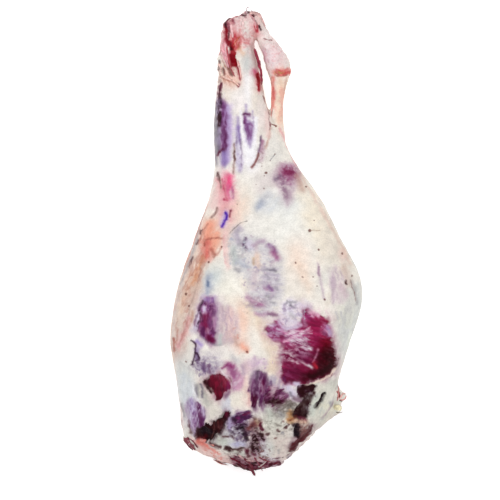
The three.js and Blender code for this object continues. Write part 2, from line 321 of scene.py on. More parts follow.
# Bared muscle
WINDOWS = [
    # Front of the thigh
    window([(200, 304), (204, 299.5), (211, 297), (215.5, 301), (217, 311), (216, 324), (215.5, 336),
            (214.5, 343), (209, 343), (203.5, 338), (199, 333.5), (198, 327.5), (200.5, 319), (203, 313),
            (199.5, 311)], (118, 62, 112), grain=82, ragged=0.6, soft=3.3),
    # The large window
    window([(303.5, 311), (307, 308.5), (310, 313), (316, 315.5), (326, 317.5), (330.5, 320.5),
            (328.5, 325), (328, 331), (331, 337.5), (333, 343), (334.5, 350), (336.5, 355), (336.5, 362),
            (335, 369), (331.5, 374.5), (323, 378.5), (312, 381.5), (305, 384.5), (296, 383.5), (285, 385),
            (282, 380), (282, 371), (281.5, 362), (282, 355), (282.5, 349), (283, 345), (279, 341.5),
            (273, 338), (268, 333), (264, 329), (269, 324.5), (275, 322.5), (281, 323), (284, 328),
            (292, 329), (300, 325), (302, 318)], (126, 22, 62), grain=-20, ragged=0.7, streak=0.1,
           depth=1.8, soft=2.8),
    # Rump
    window([(205, 382), (209, 376), (217, 373.5), (224, 375.5), (229.5, 380), (231, 386), (228.5, 390),
            (223, 393), (221, 396), (219, 400.5), (216, 400.5), (215, 394), (211, 390), (207, 387)],
           (98, 18, 38), grain=86, ragged=0.5, streak=0.1, depth=1.8, soft=2.1),
    window([(252, 374), (257, 369), (263, 371.5), (266.5, 377.5), (267.5, 385), (266.5, 394), (264.7, 399),
            (263, 408.5), (261, 408), (259.5, 400), (257.5, 400), (256.5, 408.5), (253.5, 408),
            (251.5, 401), (250, 388)], (92, 42, 82), grain=80, ragged=0.7, streak=0.2, depth=1.6),
    window([(264, 390), (268, 386), (274, 388.5), (281, 390), (288, 393), (288, 400), (283, 405),
            (276, 406.5), (268, 405), (264, 402)], (90, 28, 64), grain=30, ragged=1.2, streak=0.25,
           depth=1.4, soft=2.8),
    window([(196, 402), (201, 405), (203.5, 414), (204, 422), (201, 428), (197, 430), (196, 420),
            (194, 410)], (98, 50, 100), grain=80, ragged=1.0, streak=0.35, soft=3.3),
    window([(196, 440), (196, 434), (200, 428), (206, 423.5), (212, 425), (213.5, 420), (217, 421.5),
            (220, 417), (223, 413.5), (226, 411), (229, 413), (228, 418), (224.5, 422), (224, 428),
            (221, 433.5), (216, 435.5), (214, 439.5), (208, 441.5), (202, 441)], (32, 8, 12), grain=60,
           streak=0.0, depth=3.0, soft=2.1),
    window([(233, 420), (236, 414), (244, 412), (251, 412.5), (250, 416), (244, 418.5), (241, 424),
            (235, 425)], (86, 40, 84), grain=20, ragged=1.8, streak=0.3),
    window([(253, 436), (257, 434), (261, 438), (264, 440), (262, 446), (259, 453), (252, 453), (251, 444)],
           (60, 18, 38), ragged=1.6, streak=0.25, depth=2.0, soft=2.7),
    window([(232, 461), (240, 459), (248, 461.5), (257, 459), (266, 460), (272, 461), (280, 461.5),
            (281, 464.7), (274, 466.5), (264.7, 468.4), (257.5, 472), (254.7, 474), (250, 471), (243, 470),
            (235.6, 465)], (92, 22, 42), grain=0, ragged=1.8, streak=0.3, depth=1.6, soft=2.4),
    window([(295.5, 389), (300, 385.5), (307, 384.5), (315, 385), (316, 389), (312.5, 393.5), (306, 393),
            (305, 397), (302, 399), (297.5, 397)], (44, 8, 22), grain=10, ragged=0.6, streak=0.0, depth=2.4,
           soft=1.4, halo=0.2),
    window([(308, 395), (313.5, 394), (312, 401), (308, 408), (308.5, 415), (305.5, 421), (300, 419.5),
            (296, 417), (291, 416.5), (297, 408), (301.5, 403)], (36, 10, 16), ragged=0.6, streak=0.0,
           depth=2.6, soft=1.4, halo=0.2),
    window([(294.5, 427), (298.5, 424.5), (301, 430), (299, 436.5), (295.6, 437.5), (293.8, 432)],
           (34, 18, 28), ragged=0.6, streak=0.0, depth=2.6, soft=1.4, halo=0.3),
    window([(325.5, 391.5), (324, 396.5), (321, 402), (318.5, 407), (316, 410), (314.5, 408.5), (316, 404),
            (319, 398.5), (322.5, 394)], (36, 22, 26), streak=0.0, ragged=0.1, depth=3.0, soft=0.8,
           halo=0.1),
    window([(312, 424.5), (312.5, 427.5), (306, 436), (298, 443), (291.5, 450), (288.6, 453),
            (288.4, 447.5), (291.5, 442.5), (298, 436.3), (305, 430)], (84, 34, 40), grain=46, streak=0.0,
           ragged=0.3, depth=-1.6, soft=1.8),
    # Inner side, which lies underneath
    window([(206, 316), (213, 298), (226, 287), (236, 266), (250, 258), (255, 274), (246, 290), (252, 306),
            (246, 324), (236, 330), (233, 348), (222, 352), (219, 337), (208, 335)], (128, 44, 82),
           grain=70, ragged=1.8, streak=0.35, soft=3.4, under=True),
    window([(284, 334), (295, 316), (297, 296), (308, 282), (317, 300), (311, 316), (319, 332), (306, 348),
            (297, 345), (290, 358), (281, 348)], (116, 54, 96), grain=104, ragged=1.8, streak=0.45,
           soft=3.4, under=True),
    window([(204, 402), (213, 386), (229, 384), (244, 374), (262, 380), (258, 393), (268, 404), (254, 413),
            (242, 408), (233, 421), (215, 418)], (94, 28, 54), grain=14, ragged=1.6, streak=0.3, soft=2.8,
           under=True),
    window([(286, 386), (299, 370), (317, 364), (311, 380), (323, 391), (308, 401), (301, 417), (290, 410),
            (295, 396)], MAROON, grain=40, ragged=1.6, streak=0.25, soft=2.8, under=True),
    window([(229, 120), (236, 110), (240, 130), (237, 148), (242, 166), (239, 192), (231, 187), (234, 160),
            (228, 140)], (112, 64, 124), grain=88, ragged=1.6, streak=0.4, under=True),
    window([(253, 130), (258, 122), (262, 142), (259, 170), (254, 190), (249, 172), (254, 150)],
           (150, 96, 140), grain=80, ragged=1.6, streak=0.5, under=True),
    window([(218, 460), (230, 446), (245, 450), (257, 439), (273, 447), (290, 453), (282, 480), (230, 480)],
           (88, 24, 40), grain=10, ragged=2.0, streak=0.3, depth=1.4, soft=2.8, under=True),
]

# Where pale fibres lie dense over the muscle: middle and half-widths of an oval, density, turn
WEBS = [
    ((298, 340), (15, 9), 0.85, -14),
    ((304, 346), (9, 4), 0.6, -14),
    ((290, 347), (10, 5), 0.3, -20),
    ((274, 328), (10, 8), 0.25, -30),
    ((312, 313), (9, 4), 0.5, -14),
    ((290, 374), (9, 8), 0.16, -30),
    ((272, 390), (8, 5), 0.6, 0),
    ((284, 396), (6, 6), 0.5, 0),
    ((196, 414), (6, 16), 0.6, 0),
    ((244, 464), (16, 5), 0.4, 0),
]

# Muscle under thin fat
VEILS = [
    # Calf and top of the thigh
    veil([(276, 168), (286, 162), (297, 168), (300, 178), (294, 192), (290, 206), (283, 204), (279, 188),
          (268, 182)], (186, 160, 176), 0.8, grain=86, streak=0.3, soft=6),
    veil([(254, 176), (268, 170), (276, 176), (268, 192), (256, 196)], (222, 212, 210), 0.7, soft=6),
    veil([(254, 208), (258, 196), (270, 188), (282, 196), (276, 212), (262, 216)], (212, 214, 218), 0.7,
         grain=50, soft=6),
    # Middle of the thigh
    veil([(229, 234), (238, 228), (250, 236), (262, 238), (272, 240), (282, 254), (284, 270), (284, 290),
          (280, 306), (264, 320), (250, 310), (248, 296), (246, 276), (236, 274), (229, 256)],
         (208, 204, 208), 0.75, grain=-6, streak=0.7, soft=5),
    veil([(262, 270), (280, 268), (282, 290), (274, 300), (262, 294)], (186, 176, 190), 0.6, grain=0,
         streak=1.6, soft=4),
    veil([(217, 304), (228, 306), (237, 312), (240, 324), (238, 338), (230, 345), (217, 343)],
         (204, 180, 184), 0.8, grain=88, streak=0.7, soft=4.5),
    veil([(280, 304), (288, 298), (304, 300), (314, 306), (308, 316), (300, 330), (284, 330), (278, 318)],
         (226, 218, 232), 0.75, grain=-30, streak=0.6, soft=4),
    veil([(324, 324), (331, 323), (334, 332), (333, 340), (326, 338)], (190, 158, 184), 0.7, grain=100),
    veil([(330, 266), (340, 268), (348, 288), (346, 302), (335, 303), (328, 282)], (216, 200, 204), 0.75,
         grain=104, streak=0.8, soft=4),
    # Rump
    veil([(196, 356), (210, 352), (224, 358), (222, 372), (206, 376), (197, 370)], (190, 180, 194), 0.75,
         grain=-14, streak=1.0, soft=4),
    veil([(225, 367), (229, 362), (235, 364), (238, 371), (244, 377), (243, 384), (238, 390), (232, 391),
          (230, 384), (229, 375)], (178, 126, 160), 0.95, grain=64, streak=0.6, soft=3.6),
    veil([(178, 376), (190, 374), (196, 392), (192, 404), (182, 404)], (216, 220, 224), 0.8, grain=80,
         streak=0.8, soft=4),
    veil([(185, 402), (190, 398), (196, 402), (197, 420), (198, 432), (193, 437), (190, 428), (187, 416)],
         (156, 126, 166), 0.9, grain=84, streak=1.0, soft=2.4),
    veil([(194, 384), (204, 384), (206, 396), (214, 402), (208, 408), (198, 402)], (196, 194, 184), 0.8,
         grain=100, streak=1.2),
    veil([(222, 396), (230, 396), (232, 412), (226, 416), (221, 408)], (206, 206, 216), 0.8),
    veil([(246, 366), (250, 358), (264, 357), (270, 366), (262, 369)], (216, 192, 208), 0.7, grain=0,
         streak=1.0),
    veil([(266, 378), (276, 376), (288, 384), (288, 392), (270, 392)], (186, 176, 190), 0.8, grain=70,
         streak=1.4),
    veil([(227, 418), (236, 412), (250, 418), (250, 434), (240, 442), (226, 436)], (150, 136, 164), 0.8,
         grain=40, streak=1.4),
    veil([(262, 408), (280, 404), (300, 402), (300, 412), (284, 420), (270, 418)], (176, 172, 164), 0.75,
         grain=70, streak=1.5, soft=4),
    veil([(252, 418), (262, 416), (266, 436), (262, 456), (248, 458), (246, 436)], (180, 156, 154), 0.8,
         grain=80, streak=1.5),
    veil([(286, 410), (300, 410), (304, 424), (292, 427), (285, 420)], (212, 172, 134), 0.8, grain=30,
         streak=1.0, soft=2.5),
    veil([(300, 418), (308, 418), (308, 430), (302, 436), (298, 428)], (168, 122, 112), 0.8, grain=40,
         streak=1.4, soft=2.5),
    # Inner side, which lies underneath
    veil([(226, 190), (262, 186), (284, 220), (268, 240), (234, 232)], LILAC, 0.7, streak=0.8, soft=6,
         under=True),
    veil([(262, 326), (292, 336), (288, 368), (260, 362)], MAUVE, 0.7, grain=20, streak=0.8, soft=5,
         under=True),
    veil([(176, 352), (200, 346), (206, 404), (186, 416)], LILAC_GREY, 0.8, streak=0.9, soft=6, under=True),
    veil([(298, 402), (330, 376), (344, 404), (312, 434)], PLUM_GREY, 0.7, grain=50, streak=0.9, soft=6,
         under=True),
    # Shank
    veil([(217, 98), (224, 101), (230, 108), (231, 130), (230, 150), (227, 166), (220, 168), (216, 150),
          (215, 120)], (166, 148, 186), 0.7, grain=89, streak=0.8, soft=4.0),
    veil([(242, 116), (250, 112), (256, 120), (256, 134), (251, 147), (246, 138), (242, 126)],
         (190, 172, 206), 0.7, grain=84, streak=0.6, soft=3.4),
    veil([(234, 122), (241, 120), (243, 150), (243, 170), (235, 172)], (216, 206, 226), 0.8, grain=88,
         streak=0.9),
]

# Soft stains on the muscle, and painted shadow along the large window's lower edge
MUSCLE_TINTS = [
    tint((316, 333), (8, 17), (148, 26, 72), 0.95, turn=8),
    tint((307, 315), (6, 6), (150, 44, 104), 0.9),
    tint((326, 322), (6, 4), (122, 18, 52), 0.9),
    tint((326, 346), (6, 9), (120, 2, 26), 0.95),
    tint((327, 361), (13, 14), (44, 0, 6), 1.0),
    # Dark along the lower edge: partly dark muscle, partly painted shadow under the ridge of fat
    tint((311, 376), (16, 6), (58, 2, 16), 0.95, turn=16),
    tint((291, 374), (11, 9), (96, 14, 50), 0.9),
    tint((274, 330), (11, 9), (150, 82, 128), 0.95, turn=-30),
    tint((294, 337), (13, 9), (168, 96, 140), 0.9, turn=-14),
    tint((298, 356), (16, 7), (104, 24, 60), 0.9, turn=-18),
    tint((208, 384), (4, 7), (52, 10, 22), 0.9, turn=30),
    tint((217, 398), (3, 4), (70, 10, 26), 0.9),
    tint((256, 374), (7, 6), (122, 98, 122), 0.9),
    tint((254, 401), (3.5, 7), (72, 10, 38), 0.9),
    tint((263, 388), (4, 12), (82, 28, 74), 0.8),
    tint((272, 402), (8, 3), (56, 10, 42), 0.9),
    tint((281, 395), (5, 4), (110, 52, 96), 0.8),
    tint((218, 425), (6, 7), (60, 20, 24), 0.8),
    tint((226, 414), (3, 5), (80, 12, 36), 0.9),
    tint((200, 438), (6, 3), (82, 6, 16), 0.9),
    tint((301, 418), (3, 2), (112, 16, 50), 0.9),
]

# Soft stains on the fat, and painted shade along its left and right edges
FAT_TINTS = [
    tint((292, 228), (26, 24), (242, 241, 235), 0.9),
    tint((318, 224), (12, 42), (247, 235, 215), 0.9, turn=28),
    tint((336, 252), (10, 34), (228, 218, 206), 0.9, turn=22),
    tint((298, 260), (12, 22), (247, 228, 214), 0.85),
    tint((288, 206), (15, 10), (228, 229, 227), 0.8),
    tint((250, 222), (10, 14), (232, 228, 222), 0.8),
    tint((238, 208), (10, 16), (243, 218, 200), 0.9, turn=-12),
    tint((212, 238), (14, 20), (232, 184, 164), 0.95, turn=-14),
    # Pinkish tan along the left edge: the fat's colour, partly painted shade
    tint((196, 274), (10, 24), (214, 176, 158), 0.95, turn=-22),
    tint((182, 316), (10, 28), (218, 196, 182), 0.95, turn=-10),
    tint((178, 350), (8, 18), (218, 190, 180), 0.9),
    tint((214, 268), (13, 10), (226, 224, 216), 0.9),
    tint((214, 280), (9, 10), (206, 214, 216), 0.85),
    tint((226, 288), (12, 9), (240, 236, 224), 0.85),
    tint((243, 319), (7, 17), (238, 200, 182), 0.9),
    tint((296, 288), (13, 16), (234, 226, 216), 0.8),
    tint((345, 316), (8, 12), (216, 210, 192), 0.8),
    tint((334, 384), (8, 6), (196, 197, 187), 0.9),
    tint((320, 424), (10, 8), (198, 190, 180), 0.8),
    tint((331, 415), (8, 6), (216, 201, 189), 0.8),
    tint((183, 414), (6, 14), (200, 192, 198), 0.85),
    tint((190, 393), (5, 10), (192, 192, 203), 0.85),
    tint((240, 344), (8, 8), (238, 204, 190), 0.9),
    tint((196, 322), (4, 11), (208, 200, 222), 0.8, turn=-20),
    tint((218, 352), (16, 7), (232, 226, 222), 0.8),
    tint((182, 380), (10, 26), (216, 219, 218), 0.9),
    tint((210, 408), (12, 10), (232, 226, 214), 0.9),
    tint((240, 402), (8, 14), (240, 232, 218), 0.9),
    tint((246, 386), (4, 16), (246, 218, 204), 0.9),
    tint((249.5, 398), (2.4, 9), (242, 188, 174), 0.85),
    tint((272, 424), (13, 22), (216, 214, 202), 0.9),
    tint((318, 402), (17, 24), (220, 218, 204), 0.95),
    tint((312, 404), (5, 9), (204, 212, 206), 0.8, turn=-20),
    tint((280, 446), (16, 14), (222, 208, 200), 0.95),
    tint((267, 448), (7, 9), (214, 220, 212), 0.8),
    tint((222, 441), (11, 5), (204, 209, 198), 0.95),
    tint((239, 444), (9, 3.4), (190, 188, 220), 0.95),
    tint((239, 453), (9, 4), (202, 206, 196), 0.9),
    # Grey-green along the right edge: partly the fat's tone, partly painted shade
    tint((345, 336), (9, 26), (216, 218, 211), 0.95),
    tint((350, 298), (9, 20), (220, 218, 211), 0.9),
    tint((343, 254), (4, 7), (230, 196, 186), 0.7),
    tint((222, 196), (6, 16), (238, 186, 186), 0.95, turn=-6),
    tint((275, 150), (9, 18), (228, 224, 218), 0.85),
    tint((274, 54), (13, 17), (242, 224, 230), 0.9),
    tint((270, 34), (10, 12), (244, 232, 228), 0.95),
    tint((247, 66), (6, 34), (240, 232, 228), 0.95),
    tint((246.5, 63), (3.5, 9), (214, 212, 210), 0.8),
    tint((241, 26), (18, 16), (234, 204, 204), 0.95),
    tint((231, 78), (11, 9), (240, 196, 186), 0.95),
    tint((238, 100), (10, 12), (246, 238, 236), 0.9),
    tint((251, 156), (10, 18), (246, 243, 248), 0.95),
    tint((262, 116), (7, 18), (240, 226, 222), 0.8),
    tint((281, 102), (6, 26), (250, 218, 194), 0.95),
    # Inner side, which lies underneath
    tint((206, 240), (22, 34), ORANGE, 0.55, turn=-14, under=True),
    tint((184, 316), (20, 40), SAND, 0.7, turn=-10, under=True),
    tint((300, 214), (30, 30), CREAM, 0.7, under=True),
    tint((346, 310), (18, 60), GREEN_WHITE, 0.7, under=True),
    tint((226, 432), (44, 26), PINK_FAT, 0.8, under=True),
    tint((236, 44), (22, 40), BLUSH, 0.9, under=True),
    tint((280, 100), (10, 34), PEACH, 0.8, under=True),
    # Pink and tan places
    tint((228, 210), (10, 26), ROSE, 0.35),
    tint((190, 290), (8, 16), TAN_ROSE, 0.5),
    tint((247, 366), (8, 7), MAUVE_PINK, 0.4),
    tint((302, 272), (5, 22), PEACH, 0.4, turn=24),
]

# Soft stains along lines on the fat, and painted shade along its outlines
FAT_BANDS = [
    band([(222, 250), (234, 282), (250, 304)], 3.4, (246, 242, 232), 0.8),
    band([(250, 304), (259, 322), (269, 342), (275, 358), (271, 370)], 6.0, (236, 216, 194), 0.95),
    # Pinkish grey along the left outline: partly the fat's colour, partly painted shade
    band([(204, 206), (199, 222), (195, 244), (187, 268), (179, 290), (173, 316), (172, 350)], 2.2,
         (212, 198, 192)),
    band([(300, 172), (318, 204), (334, 232), (350, 264)], 1.6, (226, 198, 184), 0.7),
    # Grey along the right outline: partly the fat's grey-green, partly painted shade
    band([(358, 284), (359.5, 305), (352, 330)], 2.4, (212, 214, 210)),
    band([(247, 78), (248, 106)], 3.2, (252, 248, 248), 0.95),
    band([(300, 398), (330, 408), (342, 408)], 4.0, (230, 226, 206), 0.8),
    band([(200, 450), (216, 458), (232, 462)], 3.0, (240, 204, 196), 0.9),
]

# Streaks, dabs and soft washes on fat and muscle alike: colour, half-width in pixels, line of pixels
STROKES = [
    # Hock, outer edge
    wash(ROSE, 5.0, (227, 24), (228, 42), strength=0.75),
    # The black-maroon lines of the hock are partly dark blood, partly painted shade in its crevices
    stroke(BLACK_MAROON, 0.8, (226, 20.5), (231, 18), (236, 15), soft=0.9),
    stroke(MAROON, 1.6, (225.5, 21.5), (226, 27), lift=-1),
    stroke(MAROON, 1.3, (228.8, 24), (228.8, 31), lift=-1),
    stroke(BLOOD, 2.0, (225.5, 28), (226.5, 37), (228.5, 44), soft=1.0, lift=-1),
    stroke(BLACK_MAROON, 0.7, (228.5, 30), (228.7, 40), soft=0.9),
    stroke(DEEP_RED, 1.6, (229.5, 42), (231, 48), lift=-1),
    stroke(DEEP_RED, 2.6, (231.5, 45), (232.5, 53), (233.5, 60), (235, 64), soft=1.0, lift=-2.5),
    stroke(BLOOD, 1.2, (235, 62), (238.3, 70), (240, 79), lift=-1),
    wash(SOFT_PINK, 3.4, (223.5, 42), (226, 58), strength=0.7),
    stroke(BLACK_MAROON, 0.9, (225.7, 22), (226, 27), soft=0.9),
    stroke(BLACK_MAROON, 0.7, (229.5, 44), (230.7, 50), soft=0.9),
    stroke(BLOOD, 2.2, (231, 56), (232, 64)),
    # Painted shadow: brown-grey, in the hollow beside the pink strand
    stroke(BROWN, 1.8, (228, 63), (229.7, 70), (232, 74.5), lift=-2),
    stroke(CREAM, 1.7, (220.5, 63), (222, 69), (220.5, 75)),
    stroke(DARK_BROWN, 0.8, (219.5, 60.5), (218.5, 70)),
    stroke(DARK_BROWN, 1.1, (223.5, 69), (224.5, 75), lift=-1),
    wash(PEACH, 4.0, (224, 78), (235, 82), strength=0.7),
    stroke(RUST, 0.6, (221, 77), (228, 80), (235, 83), (238, 86), strength=0.7),
    stroke(DARK_BLOOD, 1.3, (238.4, 85), (238.6, 85.4), lift=-1),
    # Hock, upper end
    stroke(DARK_BLOOD, 0.9, (232.5, 19.5), (234, 23.5)),
    # Black-maroon here too: partly dark blood, partly painted shade in the gaps
    stroke(BLACK_MAROON, 0.9, (240.5, 14.5), (245.5, 15), soft=0.9),
    stroke(BLACK_MAROON, 0.9, (248.5, 12.5), (254, 16.5), soft=0.9),
    stroke(DARK_BROWN, 0.6, (251.5, 15), (254.5, 21), (257.5, 27), soft=0.9),
    wash(ROSE, 4.0, (231, 24), (233, 33), strength=0.6),
    wash(SALMON, 5.0, (235, 38), (237, 47)),
    wash(CRIMSON, 2.2, (233.5, 35), (232, 45), strength=0.85),
    stroke(CRIMSON, 0.5, (236, 35), (236.5, 43), (235.5, 50), strength=0.8, soft=0.9),
    stroke(AMBER_DARK, 0.5, (239.5, 36), (238, 44), (238.5, 50), strength=0.8, soft=0.9),
    wash(RUST, 1.6, (238.5, 37), (239.3, 47), strength=0.75),
    wash(ROSE, 4.5, (242, 38), (249, 42), strength=0.65),
    stroke(RED, 0.6, (241, 35), (244, 39), (249, 41), strength=0.8),
    stroke(RED, 0.6, (240, 43), (246, 43), (250, 44), strength=0.7),
    stroke(RED, 0.6, (240.5, 30), (239, 36), strength=0.7),
    wash(SAND, 2.2, (240, 50), (244, 54)),
    wash(IVORY, 4.0, (245, 20), (246, 33), strength=0.6),
    wash(PALE_FAT, 3.0, (245, 30), (247.5, 37), strength=0.75),
    wash(ROSE, 4.0, (255, 26), (257, 34), strength=0.7),
    stroke(CRIMSON, 1.5, (255.5, 26), (257, 31)),
    # Partly dark blood, partly painted shade in a gap
    stroke(BLACK_MAROON, 0.8, (258.5, 25.5), (261, 30), soft=0.9),
    wash(BLUSH, 4.0, (253, 36), (255, 50), (257, 62)),
    wash(GREEN_GREY, 3.0, (246.5, 58), (246.5, 68), strength=0.4),
    # Heel
    wash(MAUVE_PINK, 3.4, (262, 52), (263.5, 60), strength=0.7),
    wash(BLUSH, 8.0, (276, 46), (281, 60), strength=0.4),
    stroke(TAN_ROSE, 0.6, (270, 30), (278, 41), (285, 51), (290, 61), strength=0.6),
    # Dark maroon down the heel's left edge: partly blood, partly painted shadow beside the heel string
    stroke(DARK_BLOOD, 1.4, (257.5, 61), (260, 66), (262, 73), lift=-1),
    wash(RASPBERRY, 3.2, (255, 72), (258, 76)),
    wash(ROSE, 3.4, (256, 76), (259, 90), strength=0.7),
    stroke(DEEP_RED, 1.5, (257.8, 74), (258.6, 82), (259.3, 90), lift=-0.8),
    wash(SALMON, 3.4, (275, 72), (289, 72), strength=0.85),
    stroke(AMBER_DARK, 1.6, (276.5, 73), (284, 73)),
    stroke(RUST, 0.5, (274.5, 75.5), (281, 76), (287, 75), soft=0.9),
    stroke(RED, 1.3, (283.5, 74), (288.7, 72.5)),
    stroke(RED, 0.6, (276, 70), (282, 71.5), (288, 69), strength=0.8),
    wash(CREAM, 2.6, (280.5, 92), (281.5, 118), strength=0.6),
    wash(SALMON, 2.2, (272.5, 78), (273, 106), strength=0.85),
    stroke(RED, 0.8, (273.3, 88), (274, 99), strength=0.7),
    wash(PEACH, 4.0, (281, 82), (281, 118), strength=0.6),
    stroke(TAN_ROSE, 0.7, (287, 78), (285, 87), (284.5, 98), strength=0.7),
    # Shank, front stripe
    # Grey along the shank's left edge: grey-lilac membrane, partly painted shade
    wash(GREY, 2.4, (216, 104), (215.3, 125), (216.5, 164), strength=0.85),
    wash(VIOLET_WHITE, 4.4, (227.5, 108), (228.5, 130), (226.5, 160), strength=0.85),
    wash(PURPLE, 3.4, (223, 104), (224, 124), (223.4, 148), strength=0.95),
    wash(AUBERGINE, 2.0, (224, 122), (224.2, 145)),
    wash(SLATE, 2.2, (217.8, 126), (218.2, 152), strength=0.75),
    stroke(MAROON, 1.6, (221, 84), (219.3, 91), (219, 98)),
    stroke(NAVY, 1.8, (219.5, 98), (220, 107)),
    wash(NAVY, 1.6, (217.6, 102), (217.6, 111), strength=0.6),
    stroke(NAVY, 1.6, (219.2, 112), (219.8, 125)),
    stroke(AUBERGINE, 2.0, (223.5, 148.5), (226, 146)),
    stroke(MAROON, 1.2, (217.8, 155), (220.5, 151), (223.5, 149)),
    wash(DUSK, 3.2, (224, 153), (224.6, 164), strength=0.85),
    wash(PALE_FAT, 1.4, (218.5, 157), (219.5, 168), strength=0.6),
    # Shank, middle
    wash(LILAC, 2.4, (238, 118), (238.6, 134), (239.5, 156), (240.5, 170), strength=0.75),
    wash(DUSK, 1.8, (238.5, 127), (238.8, 142)),
    stroke(SLATE_PLUM, 0.5, (236.5, 138), (237, 147), (239.5, 154), strength=0.5),
    stroke(SLATE_PLUM, 0.6, (240.3, 140), (241.5, 150), (241, 166), strength=0.5),
    stroke(BROWN, 0.8, (234.3, 144), (234.3, 158), (233, 173), strength=0.75, lift=-0.5),
    stroke(DARK_BROWN, 0.8, (234.3, 152), (234.3, 160)),
    # White along the tendon ridges: partly the tendon's own white, partly painted highlight
    stroke(WHITE, 1.5, (241, 112), (242, 128), (246, 147), (249, 153), lift=0.6),
    stroke(WHITE, 1.7, (256, 118), (255.5, 134), (252, 152), lift=0.6),
    wash(LILAC, 1.6, (246, 105), (246, 112), strength=0.7),
    wash(LILAC, 3.6, (248.5, 124), (249.8, 139), strength=0.85),
    wash(PURPLE, 1.6, (245.3, 117), (245, 122), strength=0.9),
    stroke(AUBERGINE, 0.6, (244.3, 116), (244.3, 123), strength=0.7, soft=0.9),
    wash(PURPLE, 1.8, (247, 126), (249.5, 135)),
    stroke(PURPLE, 0.5, (245, 126), (247.5, 136), strength=0.8, soft=0.9),
    stroke(PURPLE, 0.9, (246.5, 124.5), (249.5, 123.8), (252.3, 126), strength=0.8),
    stroke(PURPLE, 0.7, (248, 127), (248.3, 140), strength=0.7),
    stroke(PURPLE, 0.7, (251.3, 128), (250.8, 138), strength=0.6),
    wash(LILAC, 1.6, (249.8, 140), (250, 147), strength=0.7),
    stroke(LILAC, 0.6, (252.5, 111), (253.3, 123), strength=0.7),
    # Another white ridge: partly the tendon's own white, partly painted highlight
    stroke(WHITE, 1.3, (248.5, 118), (252, 120.5), lift=0.5),
    stroke(AUBERGINE, 1.0, (243.6, 114), (249.3, 114.4), lift=-0.8),
    stroke(SLATE_PLUM, 0.9, (261, 136), (260, 146), (259, 153), lift=-0.8),
    wash(PLUM, 1.8, (262.8, 141), (261.5, 152), strength=0.7),
    wash(PALE_MAUVE, 2.6, (264, 146), (261, 160)),
    stroke(WINE_BROWN, 1.0, (259, 154), (257, 159), (254, 164.5), (251.8, 167.4), lift=-0.6),
    stroke(TAN_ROSE, 0.8, (270.5, 128), (268.7, 138), (265.5, 148), strength=0.8),
    wash(BLUSH, 3.0, (267, 112), (268, 136), strength=0.6),
    stroke(ROSE, 1.0, (280, 129), (285.5, 141), (290.5, 153), (296, 165), strength=0.7),
    # Calf
    wash(PLUM, 6.0, (286, 173), (292, 173.5)),
    wash(WINE, 4.2, (286, 173), (291.5, 172.5), strength=0.75),
    wash(PLUM, 3.4, (285, 178), (289, 182), strength=0.6),
    wash(MAUVE, 2.4, (283, 165.5), (293, 165.5), strength=0.5),
    wash(SLATE_PLUM, 2.0, (275, 179.5), (280.5, 176.5), strength=0.6),
    wash(PLUM_GREY, 3.2, (282.5, 180), (286, 196), strength=0.6),
    wash(TAN_ROSE, 3.2, (297, 175), (302.5, 190), strength=0.6),
    wash(BLUE_GREY, 3.4, (258.5, 207), (262, 201.5), strength=0.85),
    wash(PALE_GREY, 3.2, (263, 199), (268, 194), strength=0.6),
    # Front of the knee
    wash(SOFT_PINK, 6.5, (226.5, 176), (227, 199)),
    wash(ROSE, 3.4, (218, 181), (221, 192), strength=0.7),
    wash(RASPBERRY, 3.9, (228.6, 177.5), (229.8, 188), strength=0.9),
    wash(PINK, 3.0, (227.5, 187), (229, 198)),
    stroke(RASPBERRY_DARK, 0.6, (225, 182), (224.6, 190), (226, 198), strength=0.6),
    stroke(RASPBERRY_DARK, 0.5, (222.3, 179), (223.5, 190), strength=0.6),
    stroke(PLUM, 0.7, (232.6, 187), (233, 198), strength=0.7),
    stroke(MILK, 0.7, (230.8, 189), (231, 197), strength=0.6),
    stroke(RASPBERRY_DARK, 0.8, (223.7, 199.4), (227, 200)),
    stroke(DARK_BROWN, 0.9, (217.8, 173), (219.3, 180)),
    stroke(BROWN, 0.7, (219.3, 180), (221, 188), strength=0.8),
    wash(ROSE, 4.0, (226, 204), (222, 214), strength=0.6),
    wash(BLUSH, 4.0, (216, 190), (212, 206), strength=0.7),
    wash(ROSE, 2.4, (231, 211), (230, 220), strength=0.6),
    wash(VIOLET_WHITE, 3.2, (226, 214), (222.5, 225), strength=0.85),
    stroke(INK, 1.3, (225.6, 212.8), (227, 216), (225, 220.5), (222, 226.7), strength=1.0),
    stroke(DARK_BLOOD, 0.7, (230.8, 211), (229.6, 217)),
    # Front of the thigh, orange part
    stroke(BROWN, 0.9, (217, 208), (215, 213.5), (211.5, 218), strength=0.7),
    wash(ORANGE, 5.5, (210, 225), (207.5, 238), strength=0.85),
    wash(ORANGE, 5.0, (216, 236), (213, 248), strength=0.6),
    wash(CORAL, 4.4, (206.5, 243), (207, 256), strength=0.95),
    wash(RUST, 2.0, (211.5, 250), (214, 254), strength=0.6),
    stroke(RUST, 1.0, (204.8, 240.5), (204.3, 245.5)),
    stroke(RUST, 0.7, (206, 239.6), (213, 238.2), (223, 238.7), strength=0.8),
    stroke(RUST, 0.7, (222, 247), (219, 252), (214, 256.5), strength=0.6),
    stroke(RUST, 0.6, (208, 224), (203, 231), (200, 240), strength=0.6),
    stroke(DARK_BROWN, 0.8, (201.3, 230.5), (200, 233.5)),
    stroke(DARK_BROWN, 0.8, (198.3, 240), (197, 244)),
    stroke(DARK_BROWN, 0.8, (192.6, 257.5), (190.5, 262)),
    stroke(BROWN, 0.8, (190, 264), (189, 266.5)),
    # Grey rim along the left outline: painted shade
    wash(GREY, 1.4, (203, 214), (198.5, 228), (194.5, 246), (187.5, 266), (180.5, 284), strength=0.5),
    wash(AMBER, 2.6, (202.5, 258), (198, 270), (193, 284), strength=0.75),
    wash(SAND, 3.0, (192, 274), (186, 292), (181, 312), strength=0.6),
